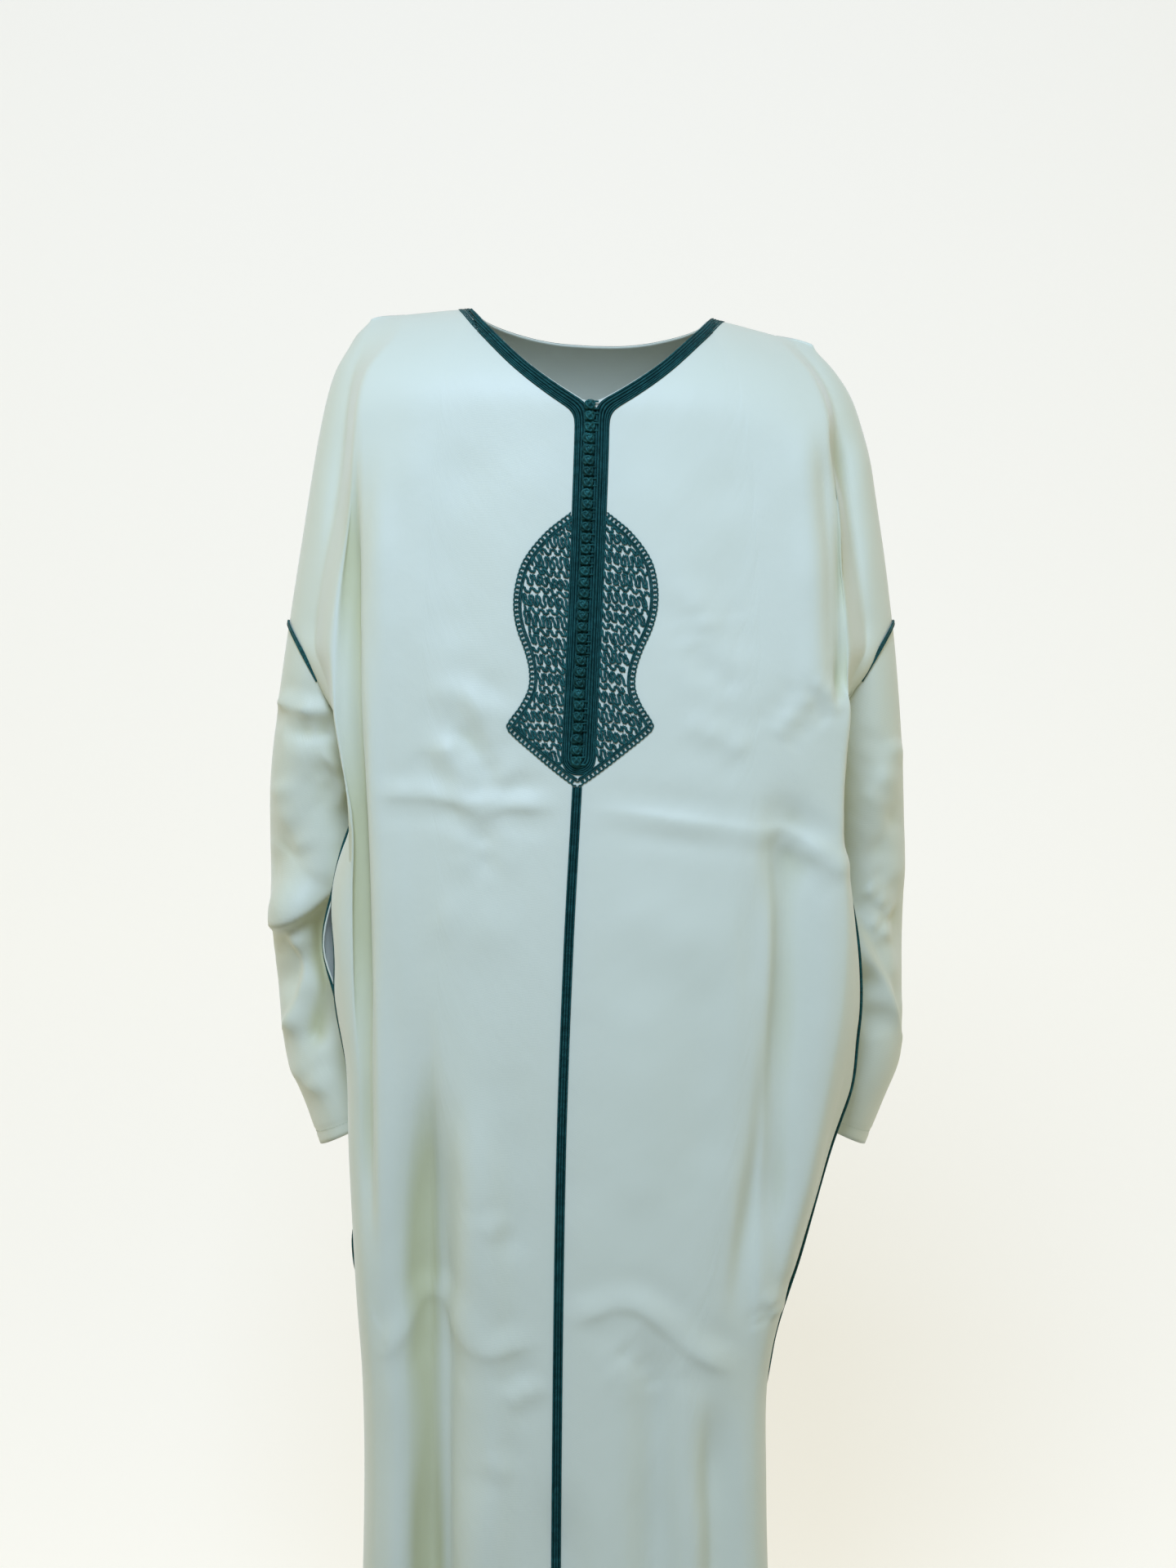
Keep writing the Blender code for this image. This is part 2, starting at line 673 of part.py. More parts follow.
def add_ribbon(name, face, stations, height, collection, closed=False):
    """A flat braid on the cloth, with rounded upper edges."""
    outs = [s.out for s in stations]
    lows = [[face.snap(s.place + s.way * s.half_width * u, s.out, TRIM_CLEAR) for u in (-1, 0, 1)]
            for s in stations]
    raise_clear(lows, outs, face, closed)
    rows = []
    for low, s in zip(lows, stations):
        inset = s.way * s.half_width * BRAID_INSET
        edge = s.out * height * BRAID_EDGE_HEIGHT
        high = [low[2] - inset + edge, low[1] + s.out * height, low[0] + inset + edge]
        rows.append(low + high)
    bm, verts = loft(rows, closed_across=True, closed_down=closed)
    if not closed:
        wide = len(rows[0])
        bm.faces.new(verts[:wide])
        bm.faces.new(list(reversed(verts[-wide:])))
    bmesh.ops.triangulate(bm, faces=bm.faces[:])
    bmesh.ops.recalc_face_normals(bm, faces=bm.faces[:])
    return add_object(name, bm, BRAID_FINISH, collection)


def path_stations(points, outs, half_width):
    """Stations along an open path."""
    stations = []
    for i, (point, out) in enumerate(zip(points, outs)):
        along = points[min(i + 1, len(points) - 1)] - points[max(i - 1, 0)]
        stations.append(Station(point, out, along.cross(out).normalized(), half_width))
    return stations


def centre_x(z):
    return read(DRIFT, "x", z)


FORWARD = Vector((0.0, -1.0, 0.0))


def add_placket(face, collection):
    """Two braids side by side. Their heads follow the slope of the neck braid's point."""
    steps = 26
    for side in (LEFT, RIGHT):
        stations = []
        for i in range(steps + 1):
            z = PLACKET_TOP_Z + (PLACKET_LOW_Z - PLACKET_TOP_Z) * i / steps
            foot = 1.0 if i < steps else PLACKET_FOOT
            half = (PLACKET_HALF - SEAM_GAP / 2) / 2 * foot
            x = centre_x(z) + side * (SEAM_GAP / 2 + half)
            slope = side * NECK_POINT_SLOPE * max(1 - i / 2, 0.0)
            stations.append(Station(face.at(x, z), FORWARD, Vector((1.0, 0.0, slope)), half))
        add_ribbon("placket_braid_" + side_name(side), face, stations, BRAID_HEIGHT, collection)


def add_centre_braid(face, collection):
    steps = 26
    top, low = MEDALLION_LOW_Z - 0.001, HEM_Z + 0.001
    heights = [top + (low - top) * i / steps for i in range(steps + 1)]
    points = [face.at(centre_x(z), z) for z in heights]
    stations = path_stations(points, [FORWARD] * len(points), CENTRE_BRAID / 2)
    add_ribbon("centre_braid", face, stations, BRAID_HEIGHT, collection)


def add_knots(face, collection):
    """Ball knots, one above another, on the line where the two placket braids meet."""
    bm = bmesh.new()
    bmesh.ops.create_uvsphere(bm, u_segments=KNOT_SEGMENTS, v_segments=KNOT_RINGS, radius=0.5)
    for vert in bm.verts:
        vert.co = Vector((vert.co.x * KNOT_WIDTH, vert.co.y * KNOT_DEPTH, vert.co.z * KNOT_HEIGHT))
    mesh = bpy.data.meshes.new("knot")
    bm.to_mesh(mesh)
    bm.free()
    mesh.shade_smooth()
    mesh.materials.append(make_material("knot", BRAID_FINISH))
    lift = 2 * TRIM_CLEAR + BRAID_HEIGHT + KNOT_DEPTH / 2
    for i in range(KNOT_COUNT):
        z = KNOT_TOP_Z - KNOT_PITCH * i
        seat = face.at(centre_x(z), min(z, KNOT_TOP_Z - KNOT_PITCH))
        knot = bpy.data.objects.new("knot_%02d" % (i + 1), mesh)
        knot.location = (centre_x(z), seat.y - lift, z)
        collection.objects.link(knot)


def medallion_inner(z):
    """The medallion's inner edge, beside the placket and then below its foot."""
    return PLACKET_HALF + SEAM_GAP if z > PLACKET_LOW_Z - SEAM_GAP else SEAM_GAP / 2


def add_medallion(face, collection):
    """Two corded plates beside the placket, with an onion shaped outline and pointed corners."""
    steps = 34
    run = PLACKET_LOW_Z - MEDALLION_TOP_Z
    heights = [MEDALLION_TOP_Z + run * i / steps for i in range(steps + 1)]
    heights += [PLACKET_LOW_Z - 2 * SEAM_GAP, (PLACKET_LOW_Z + MEDALLION_LOW_Z) / 2, MEDALLION_LOW_Z]
    for side in (LEFT, RIGHT):
        rows = []
        for z in heights:
            inner = medallion_inner(z)
            outer = max(read(MEDALLION, "half_width", z), inner + 0.002)
            places = []
            for share in (0.0, 0.5, 1.0):
                places.append(face.at(centre_x(z) + side * (inner + (outer - inner) * share), z))
            base = [point + FORWARD * TRIM_CLEAR for point in places]
            top = [point + FORWARD * (TRIM_CLEAR + MEDALLION_HEIGHT) for point in reversed(places)]
            rows.append(base + top)
        bm, verts = loft(rows, closed_across=True)
        for row in (verts[:6], verts[-6:]):
            bm.faces.new((row[0], row[1], row[4], row[5]))
            bm.faces.new((row[1], row[2], row[3], row[4]))
        bmesh.ops.triangulate(bm, faces=bm.faces[:])
        bmesh.ops.recalc_face_normals(bm, faces=bm.faces[:])
        add_object("medallion_" + side_name(side), bm, BRAID_FINISH, collection)


def neck_edge(side, panel, share):
    """A place on the neck edge, and one a little way down the cloth from it."""
    across = share * NECK_HALF / CHEST_TOP_HALF
    z = top_z(panel, side, across)
    edge = place(panel, side, across, z)
    if share > NECK_END:
        return edge, edge + Vector((side * NECK_LEAN.x, 0.0, NECK_LEAN.z))
    return edge, place(panel, side, across, z - NECK_STEP)


def add_neck_braid(face, collection):
    """One braid round the whole neck edge, mitred at its point at the front."""
    marks = NECK_SHARES + [1.0]
    middles = [(low + high) / 2 for low, high in zip(marks, marks[1:])]
    shares = sorted(NECK_SHARES + middles)
    back_shares = sorted(marks[1:] + middles, reverse=True)
    stations = [(LEFT, FRONT, share) for share in shares] + [(LEFT, BACK, share) for share in back_shares]
    stations += [(RIGHT, BACK, share) for share in shares]
    stations += [(RIGHT, FRONT, share) for share in back_shares]
    edges = [neck_edge(*station) for station in stations]
    path = []
    for i, (edge, below) in enumerate(edges):
        before = (edge - edges[i - 1][0]).normalized()
        after = (edges[(i + 1) % len(edges)][0] - edge).normalized()
        along = (before + after).normalized()
        mitre = max(before.dot(along), 0.5)
        out = along.cross(below - edge).normalized()
        if out.z + out.y * (-1 if stations[i][1] == FRONT else 1) < 0:
            out = -out
        way = out.cross(along).normalized()
        if way.dot(below - edge) < 0:
            way = -way
        half = NECK_BRAID / 2 / mitre
        path.append(Station(edge + way * half, out, way, half))
    add_ribbon("neck_braid", face, path, BRAID_HEIGHT, collection, closed=True)


def add_armhole_piping(side, face, collection):
    """A cord on the armhole seam, as far round as the cloth lies open."""
    steps = 22
    points, outs = [], []
    for i in range(steps + 1):
        angle = ARMHOLE_PIPING_REACH * (2 * i / steps - 1)
        z = armhole_z(angle)
        point = arm_point(side, z, angle)
        slant = Vector((side * math.cos(angle) / read(ARM, "half_width", z),
                        -math.sin(angle) / read(ARM, "half_depth", z), 0.0))
        points.append(Vector((side * point.x, point.y, z)))
        outs.append(slant.normalized())
    stations = path_stations(points, outs, PIPING / 2)
    add_ribbon("armhole_piping_" + side_name(side), face, stations, PIPING_HEIGHT, collection)


def add_side_piping(side, panel, rows, face, collection):
    """Half of the side seam's cord, on one panel's edge, so that it parts at the pocket slit."""
    edge, inner = (0, 1) if side == LEFT else (-1, -2)
    half = PIPING / 4 - SEAM_GAP / 2
    points, outs = [], []
    for row in rows:
        if row[edge].z > UNDERARM_Z - SIDE_PIPING_DROP:
            continue
        tangent = (row[edge] - row[inner]).normalized()
        outs.append(Vector((tangent.y, -tangent.x, 0.0)) * -panel * side)
        points.append(row[edge] - tangent * (half + SEAM_GAP / 2))
    points[-1].z += SEAM_GAP
    name = "side_piping_%s_%s" % (side_name(side), "front" if panel == FRONT else "back")
    add_ribbon(name, face, path_stations(points, outs, half), PIPING_HEIGHT, collection)


def build():
    for obj in list(bpy.data.objects):
        bpy.data.objects.remove(obj, do_unlink=True)
    collection = bpy.data.collections.new(COLLECTION)
    bpy.context.scene.collection.children.link(collection)

    front_points, back_points = panel_points(FRONT), panel_points(BACK)
    sleeves = {side: sleeve_points(side) for side in (LEFT, RIGHT)}
    front = sew_panel(FRONT, front_points, back_points, sleeves)
    back = sew_panel(BACK, back_points, front_points, sleeves)
    sewn = {side: sew_sleeve(side, sleeves[side], front_points, back_points) for side in (LEFT, RIGHT)}
    add_cloth("front", front, collection)
    add_cloth("back", back, collection, flip=True)
    for side in (LEFT, RIGHT):
        add_cloth("sleeve_" + side_name(side), sewn[side], collection,
                  closed_across=True, flip=side == RIGHT)

    front_face, back_face = Face([(front, False)]), Face([(back, False)])
    add_placket(front_face, collection)
    add_knots(front_face, collection)
    add_medallion(front_face, collection)
    add_centre_braid(front_face, collection)
    add_neck_braid(Face([(front, False), (back, False)]), collection)
    for side in (LEFT, RIGHT):
        around = Face([(front, False), (back, False), (sewn[side], True)])
        add_armhole_piping(side, around, collection)
        add_side_piping(side, FRONT, front, front_face, collection)
        add_side_piping(side, BACK, back, back_face, collection)


build()
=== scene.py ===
# %% [markdown]
# # Djellaba robe
# A long ivory robe keeps the hollow shape that it takes on its wearer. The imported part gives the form, and
# this script builds the looks on it: thin cloth with folds and creases, corded braid, knots and a corded
# medallion. All sizes are in metres. +X is the right of the picture, the front faces -Y, and +Z is up.

# %% Load the frame
import math
from collections import namedtuple

import bmesh
import bpy
import numpy as np
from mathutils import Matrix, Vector
from mathutils.bvhtree import BVHTree


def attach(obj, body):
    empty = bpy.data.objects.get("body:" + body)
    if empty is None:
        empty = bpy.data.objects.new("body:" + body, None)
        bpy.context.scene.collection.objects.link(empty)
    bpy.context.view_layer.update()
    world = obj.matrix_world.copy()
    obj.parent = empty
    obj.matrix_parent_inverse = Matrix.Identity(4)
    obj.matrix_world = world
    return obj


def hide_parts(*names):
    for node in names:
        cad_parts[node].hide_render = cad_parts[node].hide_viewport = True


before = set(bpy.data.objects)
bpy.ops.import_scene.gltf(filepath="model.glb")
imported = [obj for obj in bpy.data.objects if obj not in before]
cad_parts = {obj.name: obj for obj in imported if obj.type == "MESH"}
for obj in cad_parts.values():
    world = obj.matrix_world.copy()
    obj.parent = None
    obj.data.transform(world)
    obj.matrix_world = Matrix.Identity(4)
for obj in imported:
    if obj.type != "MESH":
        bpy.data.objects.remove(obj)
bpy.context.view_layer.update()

# %% [markdown]
# ## Sizes
# The heights, widths and depths below are those of the part, so the cloth here lies on the part's own form.
# Left is the left of the picture, which is the wearer's right.

# %% Name the sizes
SEED = 7
FRONT, BACK = -1, 1
LEFT, RIGHT = -1, 1
SLEEVE_TOP_Z = -0.290
UNDERARM_Z = -0.420
HEM_Z = -1.445
CUFF_OUTER_Z = -0.805
CUFF_INNER_Z = -0.772
NECK_HALF = 0.116
CHEST_TOP_HALF = 0.178
SHOULDER_HALF = 0.213
SHOULDER_ROLL = 0.110
ROLL_POWER = 0.68
EDGE_FALL = 0.22
EDGE_POWER = 2.8
FOLD_STEP = 0.02
FOLD_RISE, FOLD_END = 5, 4
VALLEY_ANGLE = math.radians(75)
VALLEY_STEP = math.radians(15)
SLIT_TOP_Z = -0.500
SLIT_LOW_Z = -0.655
SLIT_HALF_GAP = 0.007
SEAM_PARTING = 0.09
CLOTH = 0.0011
PLACKET_HALF = 0.0160
PLACKET_LOW_Z = -0.440
SIDE_PIPING_DROP = 0.060
KNOT_COUNT = 33
KNOT_TOP_Z = -0.0975
KNOT_PITCH = 0.0103
MEDALLION_TOP_Z = -0.197
MEDALLION_LOW_Z = -0.450

# %% [markdown]
# ## Tables of the form
# Each table is read on a smooth curve between its rows. They give the body's edges and depths, the arm's
# oval, the shoulder line, the neck edge, the main folds, the sleeves' bags and the medallion's outline.

# %% State the tables
# The edges of the chest and of the back, their depths, and the side seam, down the robe
Body = namedtuple("Body", "z left right front rear_left rear_right back seam_left seam_right seam_y")
BODY = [
    Body(0.020, 0.178, 0.178, 0.116, 0.172, 0.172, 0.100, 0.200, 0.200, 0.000),
    Body(-0.020, 0.186, 0.182, 0.118, 0.176, 0.176, 0.102, 0.200, 0.200, 0.000),
    Body(-0.060, 0.213, 0.210, 0.119, 0.196, 0.192, 0.106, 0.205, 0.200, 0.000),
    Body(-0.120, 0.224, 0.228, 0.120, 0.208, 0.206, 0.112, 0.210, 0.205, 0.000),
    Body(-0.200, 0.232, 0.238, 0.124, 0.216, 0.212, 0.116, 0.212, 0.205, 0.000),
    Body(-0.300, 0.241, 0.243, 0.127, 0.220, 0.214, 0.116, 0.214, 0.205, 0.000),
    Body(-0.360, 0.242, 0.245, 0.129, 0.216, 0.208, 0.114, 0.215, 0.204, 0.000),
    Body(-0.420, 0.236, 0.239, 0.130, 0.204, 0.192, 0.112, 0.212, 0.200, 0.000),
    Body(-0.500, 0.225, 0.234, 0.132, 0.204, 0.190, 0.112, 0.234, 0.230, -0.036),
    Body(-0.580, 0.222, 0.238, 0.134, 0.203, 0.190, 0.115, 0.248, 0.250, -0.044),
    Body(-0.660, 0.220, 0.233, 0.134, 0.196, 0.190, 0.118, 0.241, 0.256, -0.046),
    Body(-0.720, 0.218, 0.222, 0.134, 0.187, 0.188, 0.121, 0.231, 0.246, -0.038),
    Body(-0.800, 0.216, 0.205, 0.133, 0.172, 0.166, 0.126, 0.228, 0.219, -0.028),
    Body(-0.900, 0.210, 0.180, 0.132, 0.192, 0.162, 0.129, 0.222, 0.193, -0.012),
    Body(-1.000, 0.203, 0.155, 0.132, 0.192, 0.146, 0.131, 0.214, 0.165, 0.000),
    Body(-1.100, 0.200, 0.152, 0.133, 0.190, 0.144, 0.133, 0.212, 0.163, 0.000),
    Body(-1.300, 0.203, 0.156, 0.137, 0.193, 0.148, 0.137, 0.216, 0.168, 0.000),
    Body(-1.460, 0.208, 0.162, 0.141, 0.198, 0.154, 0.141, 0.222, 0.175, 0.000),
]

# The arm's outer edge, and the half width, half depth and place of the arm's oval
Arm = namedtuple("Arm", "z left right half_width half_depth y")
ARM = [
    Arm(0.020, 0.213, 0.213, 0.014, 0.050, 0.000),
    Arm(0.003, 0.214, 0.213, 0.016, 0.052, 0.000),
    Arm(-0.012, 0.228, 0.213, 0.020, 0.053, 0.000),
    Arm(-0.028, 0.237, 0.219, 0.025, 0.053, 0.000),
    Arm(-0.044, 0.247, 0.234, 0.030, 0.052, 0.000),
    Arm(-0.075, 0.257, 0.254, 0.036, 0.051, 0.002),
    Arm(-0.123, 0.267, 0.268, 0.042, 0.051, 0.005),
    Arm(-0.202, 0.280, 0.282, 0.046, 0.053, 0.008),
    Arm(-0.282, 0.293, 0.293, 0.047, 0.055, 0.012),
    Arm(-0.361, 0.305, 0.301, 0.046, 0.056, 0.020),
    Arm(-0.440, 0.315, 0.307, 0.045, 0.057, 0.034),
    Arm(-0.520, 0.318, 0.311, 0.044, 0.058, 0.054),
    Arm(-0.600, 0.316, 0.310, 0.044, 0.060, 0.066),
    Arm(-0.680, 0.308, 0.310, 0.044, 0.062, 0.070),
    Arm(-0.720, 0.303, 0.308, 0.044, 0.064, 0.071),
    Arm(-0.760, 0.287, 0.292, 0.042, 0.066, 0.071),
    Arm(-0.810, 0.268, 0.271, 0.038, 0.067, 0.071),
]

# The shoulder line, from the wearer's right to left
Ridge = namedtuple("Ridge", "x z")
RIDGE = [
    Ridge(-0.300, -0.040),
    Ridge(-0.235, -0.006),
    Ridge(-0.213, 0.003),
    Ridge(-0.160, 0.010),
    Ridge(-0.116, 0.013),
    Ridge(0.000, 0.008),
    Ridge(0.116, 0.003),
    Ridge(0.160, -0.007),
    Ridge(0.213, -0.022),
    Ridge(0.235, -0.027),
    Ridge(0.300, -0.055),
]

# How far the neck edge drops below the shoulder line
Neck = namedtuple("Neck", "x front back")
NECK = [
    Neck(0.000, 0.105, 0.022),
    Neck(0.036, 0.083, 0.021),
    Neck(0.067, 0.059, 0.017),
    Neck(0.099, 0.024, 0.009),
    Neck(0.116, 0.000, 0.000),
]

# Folds run down a panel. Across is 0 at the centre, 1 at the chest edge and 2 at the seam,
# negative on the wearer's right. A depth is a trough and a negative one a ridge.
# Lean moves the trough's lowest line towards one side, which makes that side steeper.
Fold = namedtuple("Fold", "panel top_across low_across top_z low_z half_width depth lean")
FOLDS = [
    Fold(FRONT, -0.70, -0.74, -0.700, -1.460, 0.17, 0.020, 0.4),
    Fold(FRONT, -0.93, -0.96, -0.130, -0.740, 0.09, 0.009, -0.3),
    Fold(FRONT, -0.47, -0.45, -0.720, -1.250, 0.16, -0.006, 0.0),
    Fold(FRONT, 0.80, 0.86, -0.440, -0.960, 0.17, 0.012, -0.4),
    Fold(FRONT, 0.93, 0.95, -0.120, -0.380, 0.09, 0.008, 0.0),
    Fold(FRONT, 0.36, 0.40, -0.930, -1.460, 0.20, 0.011, 0.2),
    Fold(FRONT, -0.14, -0.10, -1.080, -1.460, 0.18, 0.009, 0.0),
    Fold(FRONT, 0.78, 0.80, -1.000, -1.460, 0.17, 0.014, -0.2),
    Fold(BACK, -0.22, -0.30, -0.160, -1.460, 0.20, 0.013, 0.3),
    Fold(BACK, 0.24, 0.28, -0.190, -1.460, 0.20, 0.014, -0.2),
    Fold(BACK, -0.66, -0.68, -0.120, -1.460, 0.18, 0.015, 0.0),
    Fold(BACK, 0.66, 0.72, -0.140, -1.460, 0.18, 0.013, 0.3),
    Fold(BACK, 0.00, 0.02, -0.560, -1.460, 0.18, 0.012, 0.0),
    Fold(BACK, -0.95, -1.00, -0.620, -1.460, 0.15, 0.012, 0.0),
    Fold(BACK, 0.95, 1.00, -0.560, -1.460, 0.15, 0.012, 0.0),
]

# The sleeve bags over itself below the elbow: a lip at each angle's height
Lip = namedtuple("Lip", "side angle z half_width half_height depth")
LIPS = [
    Lip(LEFT, 70, -0.560, 60, 0.050, 0.007),
    Lip(LEFT, 110, -0.500, 60, 0.050, 0.006),
    Lip(LEFT, 60, -0.640, 55, 0.045, -0.006),
    Lip(RIGHT, 80, -0.600, 60, 0.050, 0.007),
    Lip(RIGHT, 60, -0.680, 55, 0.045, -0.006),
    Lip(LEFT, 250, -0.540, 60, 0.060, 0.006),
    Lip(RIGHT, 260, -0.520, 60, 0.060, 0.006),
    Lip(LEFT, 300, -0.420, 50, 0.040, -0.005),
    Lip(RIGHT, 310, -0.430, 50, 0.040, -0.005),
]

# Half widths of the medallion, from its top to its foot
Medallion = namedtuple("Medallion", "z half_width")
MEDALLION = [
    Medallion(-0.197, 0.018),
    Medallion(-0.215, 0.040),
    Medallion(-0.240, 0.059),
    Medallion(-0.263, 0.066),
    Medallion(-0.285, 0.067),
    Medallion(-0.305, 0.063),
    Medallion(-0.325, 0.055),
    Medallion(-0.343, 0.050),
    Medallion(-0.360, 0.050),
    Medallion(-0.376, 0.057),
    Medallion(-0.393, 0.068),
    Medallion(-0.400, 0.066),
    Medallion(-0.420, 0.043),
    Medallion(-0.440, 0.018),
    Medallion(-0.450, 0.004),
]

# The centre front line drifts towards the wearer's right as the robe hangs
Drift = namedtuple("Drift", "z x")
DRIFT = [
    Drift(0.000, 0.001),
    Drift(-0.100, 0.001),
    Drift(-0.200, -0.002),
    Drift(-0.300, -0.006),
    Drift(-0.450, -0.013),
    Drift(-0.600, -0.021),
    Drift(-0.800, -0.028),
    Drift(-1.100, -0.032),
    Drift(-1.460, -0.034),
]

# How a panel rounds the body below the arm: how far its curve leaves the chest edge, out and
# back, and is pulled at the seam, as shares of the way. Each has an addition below swell_top.
Flank = namedtuple("Flank", "swell_top swell_run pull more_pull out more_out back more_back")
FLANKS = {
    FRONT: Flank(UNDERARM_Z - 0.03, 0.10, -0.25, 0.00, 0.04, 0.18, 0.28, -0.06),
    BACK: Flank(CUFF_INNER_Z, 0.15, 0.14, 0.18, 0.06, 0.22, -0.32, 0.12),
}
ARM_LEAVING = 1.25


# %% [markdown]
# ## The form
# These functions give a point of the robe's outer face from its place across a panel and its height. They
# work on whole grids at once. Across is 0 at the centre, 1 at the chest's edge and 2 at the seam.

# %% Read the tables on smooth curves
def read(table, column, at):
    rows = sorted(table, key=lambda row: row[0])
    keys = np.array([row[0] for row in rows])
    values = np.array([getattr(row, column) for row in rows])
    index = np.arange(len(keys))
    before, after = np.maximum(index - 1, 0), np.minimum(index + 1, len(keys) - 1)
    slopes = (values[after] - values[before]) / (keys[after] - keys[before])
    at = np.clip(at, keys[0], keys[-1])
    low = np.clip(np.searchsorted(keys, at, side="right") - 1, 0, len(keys) - 2)
    span = keys[low + 1] - keys[low]
    t = (at - keys[low]) / span
    return ((2 * t**3 - 3 * t**2 + 1) * values[low] + (t**3 - 2 * t**2 + t) * span * slopes[low]
            + (3 * t**2 - 2 * t**3) * values[low + 1] + (t**3 - t**2) * span * slopes[low + 1])


def ease(t):
    t = np.clip(t, 0.0, 1.0)
    return t * t * (3 - 2 * t)


def side_name(side):
    return "left" if side == LEFT else "right"


def pair(x, y):
    x, y = np.broadcast_arrays(x, y)
    return np.stack([x, y], -1)


def unit(vectors):
    return vectors / np.maximum(np.linalg.norm(vectors, axis=-1, keepdims=True), 1e-12)


def mix(a, b, t):
    return a + (b - a) * np.asarray(t)[..., None]


# %% Shape the arm, the seams and the flanks
def arm_point(side, z, angle):
    half = read(ARM, "half_width", z)
    x = read(ARM, side_name(side), z) - half + half * np.cos(angle)
    return pair(x, read(ARM, "y", z) - read(ARM, "half_depth", z) * np.sin(angle))


def armhole_share(z):
    return np.clip((SLEEVE_TOP_Z - z) / (SLEEVE_TOP_Z - UNDERARM_Z), 0.0, 1.0)


def armhole_z(angle):
    return SLEEVE_TOP_Z - (SLEEVE_TOP_Z - UNDERARM_Z) * (1 - np.cos(angle)) / 2


def slit_gap(z):
    share = np.clip((SLIT_TOP_Z - z) / (SLIT_TOP_Z - SLIT_LOW_Z), 0.0, 1.0)
    return SLIT_HALF_GAP * np.sin(math.pi * share) ** 2


def seam_point(side, z, panel):
    end_angle = np.arccos(1 - 2 * armhole_share(z))
    above = arm_point(side, z, -panel * end_angle)
    under = arm_point(side, UNDERARM_Z, math.pi)
    below = pair(read(BODY, "seam_" + side_name(side), z), read(BODY, "seam_y", z))
    share = np.clip((UNDERARM_Z - z) / SEAM_PARTING, 0.0, 1.0)
    point = mix(under, below, 1 - (1 - share) ** 2) + pair(0.0, panel * slit_gap(z))
    return np.where((z >= UNDERARM_Z)[..., None], above, point)


def tail_point(panel, side, start, t, z):
    end = seam_point(side, z, panel)
    reach = np.linalg.norm(end - start, axis=-1)
    flank = FLANKS[panel]
    swell = ease((flank.swell_top - z) / flank.swell_run)
    a = start
    b = start + pair((flank.out + flank.more_out * swell) * reach,
                     (flank.back + flank.more_back * swell) * reach)
    c = end + pair(0.0, (flank.pull + flank.more_pull * swell) * reach)
    u, v = t[..., None], 1 - t[..., None]
    round_flank = a * v**3 + b * 3 * v * v * u + c * 3 * v * u * u + end * u**3
    share = armhole_share(z)
    end_angle = np.arccos(1 - 2 * share)
    valley_angle = np.minimum(np.maximum(VALLEY_ANGLE, end_angle + VALLEY_STEP), math.pi)
    valley = arm_point(side, z, -panel * valley_angle)
    turn = valley_angle + (end_angle - valley_angle) * np.clip(t * 1.5 - 0.5, 0.0, 1.0)
    over = np.where((t < 1 / 3)[..., None], mix(start, valley, np.minimum(t * 3, 1.0)),
                    arm_point(side, z, -panel * turn))
    return mix(over, round_flank, ease(share * ARM_LEAVING))


# %% Shape a level section, with its folds
def section_base(panel, side, across, z):
    depth = read(BODY, "front" if panel == FRONT else "back", z)
    edge = read(BODY, ("" if panel == FRONT else "rear_") + side_name(side), z)
    inner = pair(edge * across, panel * depth * (1 - EDGE_FALL * np.minimum(across, 1.0) ** EDGE_POWER))
    start = pair(edge, panel * depth * (1 - EDGE_FALL))
    outer = tail_point(panel, side, start, np.clip(across - 1, 0.0, 1.0), z)
    return np.where((across <= 1)[..., None], inner, outer)


def fold_depth(panel, across, z):
    total = np.zeros_like(z)
    for fold in FOLDS:
        if fold.panel != panel:
            continue
        share = np.clip((z - fold.top_z) / (fold.low_z - fold.top_z), 0.0, 1.0)
        offset = (across - fold.top_across - (fold.low_across - fold.top_across) * share) / fold.half_width
        t = np.where(offset > fold.lean, (offset - fold.lean) / (1 - fold.lean),
                     (offset - fold.lean) / (1 + fold.lean))
        fade = ease(share * FOLD_RISE)
        if fold.low_z > HEM_Z:
            fade = fade * ease((1 - share) * FOLD_END)
        total += np.where(np.abs(offset) < 1, fold.depth * fade * np.cos(t * math.pi / 2) ** 2, 0.0)
    return total


def section(panel, side, across, z):
    low = section_base(panel, side, np.maximum(across - FOLD_STEP, 0.0), z)
    high = section_base(panel, side, np.minimum(across + FOLD_STEP, 2.0), z)
    run = unit(high - low)
    depth = fold_depth(panel, side * across, z)
    into = pair(-panel * run[..., 1], panel * run[..., 0])
    return section_base(panel, side, across, z) - into * depth[..., None]


# %% Close the shoulders and cut the neck
def ridge_z(x):
    return read(RIDGE, "z", x)


def neck_z(panel, x):
    drop = read(NECK, "front" if panel == FRONT else "back", np.abs(x))
    return ridge_z(x) - np.where(np.abs(x) >= NECK_HALF, 0.0, drop)


def roll(x, z):
    drop = np.clip((ridge_z(x) - z) / SHOULDER_ROLL, 0.0, 1.0)
    return (1 - (1 - drop) ** 2) ** ROLL_POWER


def top_z(panel, side, across):
    z = np.zeros_like(across)
    for _ in range(12):
        z = neck_z(panel, side * section_base(panel, side, np.minimum(across, 1.0), z)[..., 0])
    x = CHEST_TOP_HALF + (SHOULDER_HALF - CHEST_TOP_HALF) * (across - 1)
    return np.where(across > 1, ridge_z(side * x), z)


def place(panel, side, across, z):
    point = section(panel, side, across, z)
    middle = np.where(z > UNDERARM_Z, read(ARM, "y", z), 0.0)
    share = np.where(z > SLEEVE_TOP_Z, roll(side * point[..., 0], z), 1.0)
    y = middle + (point[..., 1] - middle) * share
    return np.stack([side * point[..., 0], y, z], -1)

